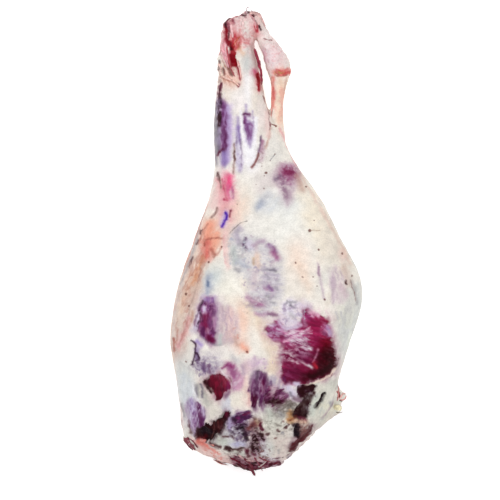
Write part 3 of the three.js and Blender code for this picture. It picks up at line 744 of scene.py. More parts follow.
    stroke(BROWN, 0.6, (202, 268), (198, 280), (195, 292), (189, 312), (183, 334), (176, 350),
           strength=0.35),
    wash(ROSE, 3.2, (189, 318), (185, 332), (178, 346), strength=0.6),
    stroke(RUST, 0.8, (173.6, 338), (174, 351)),
    stroke(RUST, 0.6, (178, 330), (176, 344), strength=0.6),
    # Thin bluish and pink places of the thigh
    wash(BLUE_GREY, 4.0, (208.5, 278), (207.5, 293)),
    wash(SLATE_BLUE, 1.6, (208.2, 282), (207.8, 286)),
    wash(BLUSH, 3.2, (225, 232), (226, 250), (228, 266), strength=0.75),
    stroke(ROSE, 0.5, (223.7, 236), (224.5, 256), (226, 264), strength=0.5),
    wash(LILAC_GREY, 3.6, (239, 228), (237, 234), (239, 243), strength=0.75),
    wash(LILAC_WHITE, 4.5, (248, 243), (251, 248), strength=0.7),
    wash(SLATE_PLUM, 1.7, (245.5, 238.7), (243.4, 243), (243.6, 246), (246, 249), strength=0.95),
    wash(GREEN_GREY, 4.0, (233, 248), (235, 262)),
    wash(BLUE_GREY, 3.0, (240, 263), (247, 267), strength=0.5),
    wash(GREY, 1.8, (236, 269), (239.5, 271)),
    wash(MAUVE_GREY, 2.6, (254, 246), (257.5, 242.5), (263, 241.5), strength=0.9),
    wash(PALE_MAUVE, 1.8, (256, 246), (256, 256), strength=0.6),
    wash(PURPLE, 1.7, (268, 245), (272, 247.3), (275.5, 251.5), strength=0.85),
    wash(PLUM, 3.2, (273, 252), (277, 257.5), strength=0.85),
    wash(PALE_FAT, 6.0, (252, 256), (260, 261), strength=0.6),
    wash(TAN, 1.6, (254, 259), (253.7, 263.5)),
    wash(PEACH, 3.0, (257.5, 256), (258, 266), strength=0.7),
    stroke(GREY, 0.9, (262, 269.5), (268, 269.8), strength=0.7),
    stroke(SLATE, 1.0, (269.8, 270), (275.5, 270.6)),
    stroke(GREY, 0.8, (266, 275), (268, 277.3), (270.3, 280.5), strength=0.7),
    stroke(GREY, 0.9, (275.5, 280.3), (278, 280.6), strength=0.7),
    wash(MAUVE_GREY, 4.0, (265, 286), (272, 289), strength=0.75),
    stroke(PURPLE, 1.8, (268.7, 286), (271, 289.7)),
    stroke(PLUM, 1.0, (264.5, 289), (267, 289.5), strength=0.7),
    stroke(GREY, 1.2, (275, 287.5), (277, 289.3), strength=0.7),
    stroke(GREY, 1.3, (266, 295.6), (272.5, 297), strength=0.8),
    stroke(GREY, 1.0, (271, 302.3), (274, 303), strength=0.7),
    wash(PALE_MAUVE, 4.0, (255, 272), (254, 288), strength=0.5),
    wash(MILK, 2.6, (264, 282), (274, 282), strength=0.6),
    wash(MILK, 3.4, (257, 291), (260, 297), strength=0.5),
    wash(MAUVE, 3.4, (247, 298), (254, 302), (261, 305), strength=0.75),
    wash(PLUM, 1.8, (256, 304.5), (260.5, 305), strength=0.7),
    wash(MAUVE, 2.4, (256, 314), (264, 314.3), (272, 314)),
    wash(PLUM_GREY, 2.0, (268.5, 314.3), (277, 315), strength=0.85),
    stroke(SLATE, 1.0, (284.3, 304.3), (286, 303.6), strength=0.8),
    stroke(GREY, 0.9, (287, 301), (289.5, 302.7)),
    stroke(SLATE, 1.1, (290, 305.5), (294.3, 307.5)),
    stroke(GREY, 1.0, (290.5, 302.3), (296, 302), strength=0.7),
    wash(PALE_GREY, 2.0, (290, 313), (295, 317), strength=0.6),
    # Front window
    wash(VIOLET, 3.6, (205, 299), (212, 299.5), strength=0.5),
    stroke(NAVY, 0.8, (203, 300.5), (200.2, 305), (199.2, 311), lift=-0.8),
    stroke(LILAC_WHITE, 2.2, (204, 307.5), (204.3, 312.5), soft=1.2, lift=0.8),
    stroke(LILAC_WHITE, 1.6, (199.6, 313), (198.3, 320), (196.5, 328), lift=0.8),
    stroke(NAVY, 0.7, (201, 312), (200, 322), strength=0.7),
    stroke(PLUM_GREY, 0.9, (196.3, 316), (194.5, 325)),
    wash(TAN_ROSE, 2.0, (192.5, 312), (191.5, 322)),
    stroke(AUBERGINE, 1.3, (204.8, 302.5), (206, 304), strength=0.7),
    wash(AUBERGINE, 2.0, (210.8, 306), (211.3, 311), strength=0.6),
    wash(MAUVE_GREY, 2.4, (217, 304), (217, 326), strength=0.75),
    wash(WINE, 4.4, (205, 317), (205, 328), strength=0.9),
    wash(MAUVE, 2.0, (214, 318), (214, 328), strength=0.7),
    stroke(AUBERGINE, 2.2, (202, 329), (203, 334)),
    stroke(AUBERGINE, 1.8, (212, 329), (213.3, 333), strength=0.8),
    wash(MAUVE, 1.4, (207.5, 329), (208, 333.5), strength=0.7),
    stroke(WINE_DARK, 3.2, (208.5, 338), (211.5, 340.5)),
    stroke(SLATE, 0.6, (200, 335), (206, 340.5), (213, 344.3), (221, 345), strength=0.6),
    wash(GREEN_GREY, 2.8, (220, 336), (220, 343)),
    wash(BLUSH, 4.0, (230, 310), (231, 336), strength=0.6),
    wash(TAN_ROSE, 2.4, (235, 338), (237, 345), strength=0.6),
    wash(ORANGE, 3.0, (242, 346), (247, 349.5), strength=0.7),
    stroke(RUST, 0.9, (247, 351.8), (247.6, 352.2)),
    # Below the front window
    wash(INK_PALE, 2.6, (197, 341.5), (200.5, 345), strength=0.7),
    wash(DUSK, 2.6, (197, 350), (197, 360), strength=0.7),
    stroke(NAVY, 0.6, (191.3, 340.6), (194, 342), (195.6, 346), (195.4, 352), soft=0.9),
    stroke(NAVY, 0.8, (195.5, 351), (194.6, 357), (192, 364.5), soft=0.9),
    stroke(NAVY, 1.0, (196.5, 352.5), (198.8, 356), (198.6, 359.5), (195.5, 360.5), soft=0.9),
    stroke(NAVY, 0.8, (191, 364.3), (193, 365), soft=0.9),
    wash(LILAC_GREY, 4.6, (198, 366), (210, 369), strength=0.75),
    wash(DUSK_DARK, 2.2, (203, 364), (205, 371), strength=0.7),
    wash(PLUM_GREY, 2.0, (208, 366), (210, 372), strength=0.7),
    wash(PLUM, 4.2, (229, 366), (234, 376), strength=0.85),
    wash(PALE_GREY, 3.0, (233, 357), (237, 361), strength=0.6),
    wash(MAUVE_GREY, 2.8, (243, 367), (243.5, 373)),
    wash(SLATE_PLUM, 1.6, (197, 358), (197, 362), strength=0.5),
    stroke(MAGENTA, 1.6, (229, 365.5), (233, 366.5), strength=0.7),
    stroke(MAGENTA, 0.9, (222.5, 368), (227, 365), strength=0.8),
    wash(MAUVE_PINK, 3.4, (240, 380), (238, 388), strength=0.7),
    stroke(WHITE, 0.9, (222.5, 372), (228, 379), (231, 385), strength=0.8, lift=0.4),
    # Large window
    wash(WINE, 2.6, (273, 335), (281, 338)),
    wash(LILAC_WHITE, 2.2, (279, 322), (283, 328)),
    wash(LILAC_WHITE, 2.4, (287, 329), (301, 325.5), strength=0.85),
    wash(PLUM, 2.2, (287, 338), (298, 335), strength=0.5),
    wash(PINK_WHITE, 1.5, (284, 342.5), (292, 338), (301, 333.5), (309, 329), strength=0.75),
    wash(PINK_WHITE, 1.4, (286, 334.5), (294, 332), (303, 330.5), strength=0.75),
    wash(MILK, 1.5, (292, 341), (299, 339.5), (306, 343), (311, 349)),
    stroke(MILK, 0.5, (296, 345), (302, 348), (308, 350), strength=0.8),
    wash(MILK, 2.0, (304, 347), (311, 349), strength=0.85),
    wash(WINE_DARK, 4.0, (286, 356), (296, 353), (306, 359), strength=0.45),
    wash(PALE_MAUVE, 2.6, (281, 349), (281, 364), strength=0.7),
    wash(PALE_MAUVE, 1.0, (286, 351.5), (293, 356.5), (301, 361.5), (311, 368), strength=0.75),
    stroke(MILK, 0.3, (281, 358), (289, 360), (298, 364), strength=0.7, soft=0.8),
    stroke(PALE_MAUVE, 0.3, (283, 351.5), (289, 350.5), (295, 353), strength=0.7, soft=0.8),
    stroke(PINK_WHITE, 0.3, (286, 346.5), (291, 349.5), (298, 351), strength=0.7, soft=0.8),
    wash(MILK, 1.3, (309, 365.5), (312.5, 368)),
    stroke(MAUVE_PINK, 0.6, (318.7, 349), (316.6, 356), (313.6, 362), strength=0.7),
    wash(CRIMSON, 2.0, (315, 364), (317.5, 368), strength=0.85),
    # Dark band along the lower edge: dark muscle, and painted shadow under the ridge of fat below it
    wash(MAROON, 2.0, (286, 383), (300, 382), strength=0.7),
    wash(BLACK_MAROON, 3.4, (313, 377), (322, 373), (331, 367), strength=0.85),
    wash(MAUVE, 2.4, (304, 319), (306, 325), strength=0.6),
    wash(AUBERGINE, 1.8, (283.5, 378.5), (285, 382)),
    wash(PINK_WHITE, 1.8, (313, 312.5), (319, 316), strength=0.7),
    wash(PLUM, 2.6, (325, 326), (325.5, 334), strength=0.7),
    wash(LILAC, 2.0, (327.5, 326), (330, 335), strength=0.75),
    stroke(PINK_WHITE, 0.3, (322, 327), (327, 331), (331, 336), strength=0.6, soft=0.9),
    stroke(CREAM, 0.9, (335.5, 368.5), (330, 375.5), (319, 381), (306, 386), soft=0.9, lift=0.5),
    # Rump, front
    wash(GREY, 2.2, (196, 386), (197.5, 396), strength=0.7),
    stroke(SLATE, 0.9, (201, 384), (202.5, 391), (202, 397)),
    stroke(SLATE, 0.7, (196, 388), (197, 395), strength=0.7),
    stroke(WHITE, 0.9, (192, 384), (195, 395), (200, 402), strength=0.8, lift=0.4),
    stroke(BLACK_MAROON, 1.3, (204.8, 381.5), (207, 387), (211.5, 392.5)),
    stroke(MAROON, 1.6, (221, 391), (228, 388), strength=0.8),
    wash(PLUM_GREY, 2.4, (226, 396), (229, 392)),
    wash(MAGENTA, 2.4, (228.5, 384), (228, 388), strength=0.6),
    wash(LILAC_GREY, 2.6, (189, 402), (190, 420), strength=0.6),
    stroke(AUBERGINE, 2.0, (196.5, 404), (199.5, 414), (201.5, 426), strength=0.85),
    stroke(PURPLE, 0.8, (190, 405), (192.5, 416), (195, 427), strength=0.6),
    stroke(GREY, 0.9, (181.5, 404), (184, 416), strength=0.8),
    stroke(DARK_BROWN, 0.8, (189, 420), (190.5, 433)),
    stroke(BLACK_MAROON, 2.4, (198, 430), (198.5, 437)),
    stroke(BLACK, 3.4, (203, 431), (209, 432), soft=1.0),
    stroke(BROWN, 0.3, (213, 424), (213.5, 431), (211.5, 438), strength=0.7, soft=0.9),
    stroke(WINE_BROWN, 0.3, (217.5, 421), (218, 428), strength=0.6, soft=0.9),
    wash(LILAC_WHITE, 2.0, (202, 408), (203, 415), strength=0.7),
    wash(DUSK, 3.0, (192, 401), (193, 409), strength=0.6),
    stroke(BLUSH, 1.0, (190, 437), (197, 444), (202, 449)),
    wash(PINK_FAT, 5.0, (204, 450), (214, 456), (228, 462), strength=0.9),
    wash(CORAL, 2.8, (198, 441.5), (206, 446), strength=0.9),
    stroke(SALMON, 1.0, (204, 445), (212, 449.5), (220, 454), strength=0.8),
    stroke(DARK_BROWN, 1.5, (210.5, 443.5), (215, 445.5), (220, 447.5), lift=-0.8),
    stroke(DARK_BROWN, 0.8, (214, 459), (221, 463), (228, 465)),
    # Rump, middle
    stroke(NAVY, 1.8, (232.5, 419), (235, 420.5)),
    stroke(MAGENTA, 1.2, (237.5, 418.5), (239.5, 417), strength=0.8),
    stroke(WINE, 0.9, (243.5, 414.7), (249, 413), strength=0.8),
    wash(LILAC, 2.6, (229, 420), (230, 428)),
    stroke(BLACK, 1.6, (236, 429), (243, 427.5), lift=-1),
    stroke(BLACK, 2.2, (242.5, 430), (245, 435), (246.5, 440), soft=1.0, lift=-1),
    stroke(NAVY, 1.0, (241, 425), (246, 424.5)),
    stroke(SLATE, 1.0, (229, 431), (233.5, 432)),
    wash(PALE_GREY, 3.0, (225, 434), (236, 435), strength=0.7),
    stroke(DARK_BROWN, 0.9, (222.5, 436.5), (228.5, 436.8)),
    stroke(DARK_BROWN, 1.1, (231.5, 435.8), (233.5, 438)),
    wash(WINE_BROWN, 3.4, (248.5, 428.5), (255, 423.5), strength=0.9),
    wash(TAN, 2.2, (256, 419.5), (259, 424), strength=0.6),
    stroke(BLACK_BROWN, 1.9, (226, 447.5), (229.5, 450.5), lift=-1.2),
    stroke(BLACK_BROWN, 1.0, (230, 449), (237, 449.5), (243.5, 448), lift=-1.2),
    stroke(MAROON, 1.8, (233, 459), (240, 457.5), lift=-0.8),
    stroke(MAROON, 1.8, (260.5, 424), (262, 430), soft=1.0),
    stroke(BLACK_MAROON, 1.2, (256.5, 431), (259, 433.5), soft=1.0),
    stroke(BLACK_MAROON, 2.0, (261.8, 435), (262.5, 439.5)),
    wash(MILK, 3.0, (262, 444), (264, 452), strength=0.9),
    stroke(BLACK_MAROON, 2.8, (255, 437), (256, 442), (253.5, 447), soft=1.0),
    stroke(BLACK_MAROON, 1.5, (257, 449), (259, 453), soft=1.0),
    stroke(MAROON, 1.3, (252, 453), (255, 456), soft=1.0),
    stroke(MAROON, 1.8, (246.5, 450.5), (249, 457)),
    wash(MILK, 2.0, (248, 443), (250.5, 447), strength=0.6),
    wash(BLUSH, 2.4, (249, 457.5), (256, 459.5), (263, 460.5), strength=0.9),
    wash(MILK, 2.4, (263, 454), (268, 457), strength=0.85),
    wash(MILK, 2.4, (272, 460), (276, 461), strength=0.85),
    # Rump, back
    stroke(DUSK_DARK, 1.0, (271, 381.5), (271.3, 385.5)),
    wash(PALE_MAUVE, 2.6, (271.5, 388), (274, 390.5), strength=0.75),
    wash(LILAC_WHITE, 4.6, (289, 388), (293, 396), strength=0.9),
    stroke(SLATE, 1.1, (290.5, 393), (291.5, 396), strength=0.8),
    stroke(BLACK_MAROON, 1.6, (269, 402.5), (280, 402)),
    wash(UMBER, 2.4, (284, 408), (291, 403.5), strength=0.85),
    wash(PLUM_GREY, 2.6, (294, 398.5), (301, 401)),
    wash(GREY, 2.2, (279, 410), (281, 416), strength=0.6),
    wash(GREEN_WHITE, 3.4, (268, 409), (271, 416), strength=0.7),
    wash(AUBERGINE, 3.0, (263.5, 378), (265, 391), strength=0.85),
    wash(WINE_DARK, 2.6, (262.5, 383), (263, 392), strength=0.7),
    stroke(BLACK_MAROON, 1.3, (311.5, 398), (313.8, 393)),
    stroke(BLACK_MAROON, 1.4, (305.5, 398.5), (310, 398)),
    stroke(BLACK_MAROON, 2.8, (301, 389.5), (307, 388.5), (312.5, 388), soft=1.0),
    stroke(BLACK_MAROON, 2.8, (302, 393), (306, 396), (309, 397.5), soft=1.0),
    wash(LILAC_WHITE, 2.2, (295, 384), (299, 384.5), strength=0.9),
    stroke(BLACK_BROWN, 2.6, (309.5, 399), (303, 405), (297.5, 411), lift=-1),
    stroke(BLACK_BROWN, 1.8, (305, 405), (304, 412), (301.5, 417)),
    wash(BROWN, 3.0, (301.5, 427), (303, 433), strength=0.7),
    stroke(RUST_DARK, 1.4, (290, 419.5), (296, 417)),
    stroke(WINE, 1.3, (300.5, 418.5), (305, 420), strength=0.8),
    wash(AMBER_DARK, 2.6, (290, 412), (292, 418), strength=0.7),
    stroke(BLACK_BROWN, 0.7, (292, 413), (294.5, 417), strength=0.8),
    stroke(AMBER_DARK, 1.0, (288.5, 419.5), (291, 413), strength=0.8),
    wash(SAND, 2.4, (296, 421.5), (305, 422)),
    stroke(BLACK, 1.8, (293.5, 425), (298.5, 425.5), strength=0.8),
    stroke(BLACK, 2.4, (297.5, 428), (296.6, 435.5)),
    stroke(GREY, 1.0, (312, 406), (313.6, 411), strength=0.6),
    wash(GREY, 1.8, (307, 408), (308.5, 413), strength=0.5),
    wash(GREEN_WHITE, 3.2, (315.5, 401), (312, 413)),
    stroke(DARK_BROWN, 1.1, (277.5, 430.5), (279, 431), soft=0.9),
    stroke(DARK_BROWN, 1.0, (284.5, 428.5), (286.5, 427), soft=0.9),
    stroke(DARK_BROWN, 1.0, (266.5, 434.5), (269, 433.5), soft=0.9),
    stroke(BROWN, 0.8, (283.5, 421.5), (284, 422), soft=0.9),
    stroke(BROWN, 0.9, (274.5, 438), (275.5, 438.5), soft=0.9),
    stroke(DARK_BROWN, 0.7, (288, 424.5), (289, 425), soft=0.9),
    stroke(GREY, 1.1, (281.5, 433), (283, 433)),
    stroke(UMBER, 1.1, (290.5, 430), (291.5, 429.3)),
    wash(UMBER, 1.8, (277, 425), (279.5, 425.5), strength=0.6),
    stroke(MAROON, 2.6, (267.5, 461.5), (269.5, 464.5), soft=1.2),
    stroke(MAROON, 1.4, (276.5, 463.7), (280, 464)),
    stroke(GREY, 1.0, (278.5, 450.5), (279, 453), strength=0.6),
    stroke(GREY, 1.3, (330.5, 402.5), (331, 405.5), strength=0.8),
    stroke(SLATE, 0.9, (288, 458), (290, 456.5), strength=0.8),
    # Back of the thigh
    wash(MAUVE_GREY, 1.5, (318, 264), (319, 272), (321, 282), (323, 292), (324.3, 299), strength=0.5),
    stroke(PLUM_GREY, 0.7, (318.6, 267), (319.4, 275), strength=0.7),
    wash(MAUVE_GREY, 1.8, (332, 278), (333.5, 302), strength=0.5),
    wash(PALE_MAUVE, 3.0, (340, 286), (346, 296), strength=0.6),
    wash(TAN_ROSE, 4.0, (344, 268), (349, 284), strength=0.35),
    wash(GREY, 1.8, (352, 282), (354.5, 290), (356.3, 297), (357, 304), strength=0.4),
    stroke(BROWN, 0.4, (350.5, 280), (352, 287), (354.5, 294), (355.5, 301), strength=0.7, soft=0.9),
    stroke(BLACK_BROWN, 1.0, (345.4, 281), (346.4, 284), soft=0.9),
    stroke(PALE_GREY, 0.8, (336, 312), (338, 319), strength=0.7),
    stroke(PALE_GREY, 0.8, (341, 312), (341.5, 317), strength=0.7),
]

# Fibres strewn over an oval: middle, half-widths, direction, count, colour, length, width, strength
FIBRES = [
    ((229, 36), (13, 4), 95, 8, DARK_BLOOD, 8, 0.4, 0.45),
    ((236, 41), (8, 5), 100, 9, RED, 7, 0.4, 0.5),
    ((228, 66), (10, 5), -60, 8, RUST, 9, 0.4, 0.45),
    ((218, 108), (20, 2), 92, 8, LILAC_WHITE, 6, 0.45, 0.5),
    ((199.5, 318), (9, 2.4), 78, 5, NAVY, 6, 0.4, 0.6),
    ((296, 336), (14, 8), 20, 9, MILK, 11, 0.4, 0.55),
    ((273, 331), (9, 6), -20, 8, LILAC_WHITE, 7, 0.45, 0.5),
    ((290, 355), (12, 8), -22, 9, PALE_MAUVE, 9, 0.35, 0.45),
    ((194, 414), (15, 5), 84, 12, LILAC_WHITE, 10, 0.4, 0.6),
    ((259, 388), (14, 5), 84, 8, MAUVE_GREY, 10, 0.4, 0.45),
    ((241, 430), (10, 9), 30, 12, NAVY, 5, 0.6, 0.6),
    ((237, 434), (11, 8), 15, 10, MILK, 5, 0.5, 0.6),
    ((288, 405), (10, 6), 30, 12, UMBER, 4, 0.6, 0.6),
]
for number, group in enumerate(FIBRES):
    STROKES += strewn(number, *group)

# Mottling on fat and muscle alike
DAPPLES = [
    # Hock and shank
    dapple((240, 30), (12, 15), ROSE, 0.55, 7, 0.15),
    dapple((236, 42), (6, 8), CRIMSON, 0.5, 6, 0.25, grain=100),
    dapple((228, 36), (4, 15), BLOOD, 0.6, 7, 0.2, grain=95),
    dapple((246, 15), (11, 3), DARK_BLOOD, 0.6, 5, 0.2),
    dapple((275, 50), (13, 18), ROSE, 0.5, 4, 0.35),
    dapple((228, 74), (8, 12), RUST, 0.4, 5, 0.25, grain=-60),
    dapple((280, 98), (6, 24), SALMON, 0.35, 7, 0.2, grain=88),
    dapple((219, 108), (3, 24), BLACK_MAROON, 0.85, 6, 0.15, grain=90),
    dapple((222, 128), (8, 28), VIOLET_WHITE, 0.45, 6, 0.25, grain=90),
    dapple((224, 128), (4, 22), AUBERGINE, 0.6, 7, 0.1, grain=90),
    dapple((240, 150), (4, 20), WHITE, 0.6, 6, 0.1, grain=87),
    dapple((249, 130), (4, 12), PURPLE, 0.3, 5, 0.25, grain=88),
    dapple((261, 154), (5, 12), BROWN, 0.35, 4, 0.35),
    dapple((288, 172), (9, 8), WINE, 0.5, 6, 0.1),
    dapple((284, 188), (8, 11), PALE_FAT, 0.45, 7, 0.1),
    dapple((228, 188), (6, 13), ROSE, 0.5, 6, 0.1, grain=88),
    # Thigh
    dapple((208, 244), (9, 16), RUST, 0.4, 6, 0.25, grain=80),
    dapple((194, 276), (8, 26), RUST, 0.4, 5, 0.15, turn=-22, grain=66),
    dapple((183, 320), (8, 28), RUST, 0.35, 5, 0.2, turn=-12, grain=76),
    dapple((194, 280), (8, 28), CREAM, 0.4, 6, 0.2, turn=-22, grain=66),
    dapple((238, 250), (10, 18), GREY, 0.35, 7, 0.2),
    dapple((266, 282), (13, 26), LILAC_GREY, 0.5, 6, 0.15, grain=0),
    dapple((270, 286), (8, 16), SLATE, 0.35, 5, 0.5, grain=0),
    dapple((256, 302), (11, 6), PLUM_GREY, 0.45, 5, 0.15, grain=-28),
    dapple((268, 314), (12, 3), PLUM_GREY, 0.5, 5, 0.2, grain=0),
    dapple((291, 312), (11, 12), LILAC_GREY, 0.45, 5, 0.2),
    dapple((226, 324), (10, 20), MAUVE_GREY, 0.5, 4.5, 0.1, grain=90),
    dapple((209, 305), (8, 8), MAUVE, 0.55, 4.5, 0.15),
    dapple((208, 328), (7, 12), MAUVE, 0.45, 5, 0.25, grain=80),
    dapple((338, 284), (8, 18), MAUVE_GREY, 0.35, 6, 0.2, grain=104),
    dapple((347, 325), (8, 24), PALE_GREY, 0.4, 7, 0.15, grain=80),
    # Large window
    dapple((295, 337), (15, 9), MILK, 0.55, 5, 0.15, grain=16),
    dapple((289, 355), (12, 9), PALE_MAUVE, 0.7, 4, 0.15, grain=-26),
    dapple((303, 351), (9, 7), MAUVE, 0.6, 4, 0.1, grain=-22),
    dapple((274, 331), (11, 10), LILAC_WHITE, 0.5, 5.5, 0.2, grain=-14),
    dapple((315, 314), (12, 5), PINK_WHITE, 0.6, 5, 0.15, grain=-50),
    dapple((326, 330), (5, 9), MAUVE_PINK, 0.4, 5, 0.15, grain=-20),
    dapple((298, 348), (18, 18), WINE_DARK, 0.6, 7, 0.15, grain=-20),
    dapple((290, 374), (9, 8), PLUM, 0.4, 5, 0.25, grain=-30),
    # Rump
    dapple((205, 366), (12, 8), DUSK_DARK, 0.55, 6, 0.2),
    dapple((232, 376), (9, 12), MILK, 0.55, 6, 0.2, grain=70),
    dapple((218, 385), (10, 10), RASPBERRY_DARK, 0.35, 5, 0.15, grain=84),
    dapple((259, 388), (8, 16), MAUVE_GREY, 0.5, 5, 0.2, grain=84),
    dapple((275, 391), (11, 9), PALE_MAUVE, 0.65, 6, 0.15, grain=50),
    dapple((275, 400), (10, 5), BLACK_MAROON, 0.8, 8, 0.05),
    dapple((193, 411), (6, 14), LILAC_WHITE, 0.55, 5, 0.2, grain=84),
    dapple((213, 431), (13, 9), WINE_BROWN, 0.3, 5, 0.35),
    dapple((240, 427), (12, 12), NAVY, 0.8, 9, 0.2),
    dapple((242, 439), (6, 5), SLATE_PLUM, 0.7, 6, 0.05),
    dapple((233, 431), (10, 9), MILK, 0.5, 8, 0.25),
    dapple((255, 438), (8, 20), BLACK_MAROON, 0.8, 8, 0.25),
    dapple((258, 446), (9, 16), PALE_MAUVE, 0.65, 7, 0.25),
    dapple((242, 454), (16, 6), DARK_BROWN, 0.65, 6, 0.2),
    dapple((264, 454), (6, 8), MILK, 0.65, 6, 0.05),
    dapple((258, 461), (26, 5), PALE_MAUVE, 0.75, 9, 0.1),
    dapple((252, 467), (22, 5), BLACK_MAROON, 0.8, 9, 0.15),
    dapple((286, 406), (17, 8), UMBER, 0.75, 6, 0.15),
    dapple((276, 424), (14, 13), UMBER, 0.5, 5, 0.4),
    dapple((310.5, 395), (4.5, 5), PALE_GREY, 0.5, 5, 0.2),
    dapple((303, 427), (6, 8), BROWN, 0.6, 5, 0.1),
    dapple((300, 412), (9, 9), BLACK_BROWN, 0.6, 6, 0.1),
    dapple((322, 405), (16, 16), GREEN_GREY, 0.4, 8, 0.2, grain=64),
    # Inner side, which lies underneath
    dapple((236, 40), (22, 34), BLOOD, 0.7, 14, 0.3, under=True),
    dapple((226, 130), (14, 44), DUSK_DARK, 0.6, 12, 0.2, grain=90, under=True),
    dapple((196, 270), (22, 60), RUST, 0.4, 12, 0.25, turn=-16, grain=70, under=True),
    dapple((256, 300), (60, 80), MAUVE_GREY, 0.5, 16, 0.2, grain=84, under=True),
    dapple((330, 300), (30, 80), PALE_GREY, 0.5, 16, 0.2, grain=100, under=True),
    dapple((252, 412), (64, 34), DARK_BLOOD, 0.6, 14, 0.3, under=True),
    dapple((256, 464), (44, 18), BLACK_MAROON, 0.8, 12, 0.2, under=True),
    # Fine veins on the hock
    dapple((248, 36), (9, 16), RED, 0.3, 4, 0.45),
]

# Torn, dappled places
FLECKS = [
    flecks((262, 276), (18, 34), (176, 164, 180), (194, 178, 188), 0.35, 3.4, 0.1, soft=3.0),
    flecks((238, 254), (10, 22), (180, 180, 192), (196, 196, 200), 0.35, 3.4, 0.1, soft=3.0),
    flecks((294, 312), (14, 12), (190, 178, 196), (170, 150, 176), 0.4, 3.2, 0.1, soft=2.6),
    flecks((236, 340), (9, 12), (216, 166, 154), (206, 148, 138), 0.3, 3.2, 0.1, soft=2.6),
    flecks((204, 368), (12, 7), (156, 140, 166), (124, 104, 136), 0.45, 3.4, 0.2, turn=-10, soft=2.2),
    flecks((258, 362), (12, 6), (200, 172, 198), (184, 150, 180), 0.45, 3.2, 0.1, soft=2.2),
    flecks((266, 452), (12, 10), (170, 150, 142), (120, 80, 84), 0.35, 3.2, 0.4, soft=1.8),
    flecks((214, 452), (14, 7), (220, 130, 122), (226, 156, 146), 0.35, 3.2, 0.4, turn=-32, soft=2.4),
    flecks((341, 394), (5, 7), (196, 110, 108), (90, 52, 50), 0.6, 3.0, 0.8, soft=1.4),
]

# Thin lines: vessels, and creases drawn dark as painted shade
MARKS = [
    mark([(230, 233), (235.5, 227.5), (240.5, 222.7), (247, 221)], 0.6, (122, 112, 108)),
    # A crease on the heel, drawn dark as painted shade
    mark([(264, 38.7), (268, 39.6), (271.5, 40)], 0.9, (124, 60, 66)),
    mark([(263, 96), (267, 104), (269.3, 114), (270, 130)], 0.7, (160, 118, 120), 0.8, 0.6),
    mark([(263.3, 96.3), (264.5, 98.7)], 0.9, (112, 52, 58)),
    mark([(270, 122.5), (270.3, 126)], 1.0, (112, 52, 58)),
    mark([(272.5, 124), (276, 126)], 1.1, (112, 42, 38)),
    mark([(270.3, 160.7), (273, 157), (275, 154)], 0.7, (124, 124, 130)),
    mark([(310, 230.8), (320, 230.6)], 0.5, (176, 150, 132)),
    mark([(286, 132), (291, 146), (297, 160)], 0.5, (206, 160, 156), 0.6),
]

# Dark spots: where, and their radius, in pixels
SPOTS = [
    (275, 154, 0.9), (270.4, 160.7, 1.0), (266.5, 172.6, 1.6), (256, 184.5, 0.9), (264, 188.5, 1.1),
    (237.4, 204.5, 1.3), (262, 166.5, 1.1), (269, 166.5, 0.9), (264.5, 175.5, 0.9), (306, 186.5, 1.1),
    (309.4, 230.8, 1.8), (319, 249, 1.2), (342.5, 253.6, 1.8), (296, 263, 1.6), (302.5, 277, 1.7),
    (313.5, 277, 1.0), (317.4, 286, 1.0), (346, 282.5, 1.6), (352, 276, 1.6), (324.5, 299.8, 1.4),
    (185.5, 294, 1.9), (188.6, 306, 1.4), (208.4, 262, 1.1), (222, 247, 1.2), (258, 286.6, 0.8),
    (247, 313, 0.9), (186, 361.6, 1.0), (247.2, 352, 1.0), (314, 220.5, 0.9), (338, 386, 1.0),
]
SPOT_COLOUR, SPOT_STRENGTH = (104, 62, 56), 0.85
MARKS += [mark([(x, y), (x, y)], radius, SPOT_COLOUR, SPOT_STRENGTH) for x, y, radius in SPOTS]

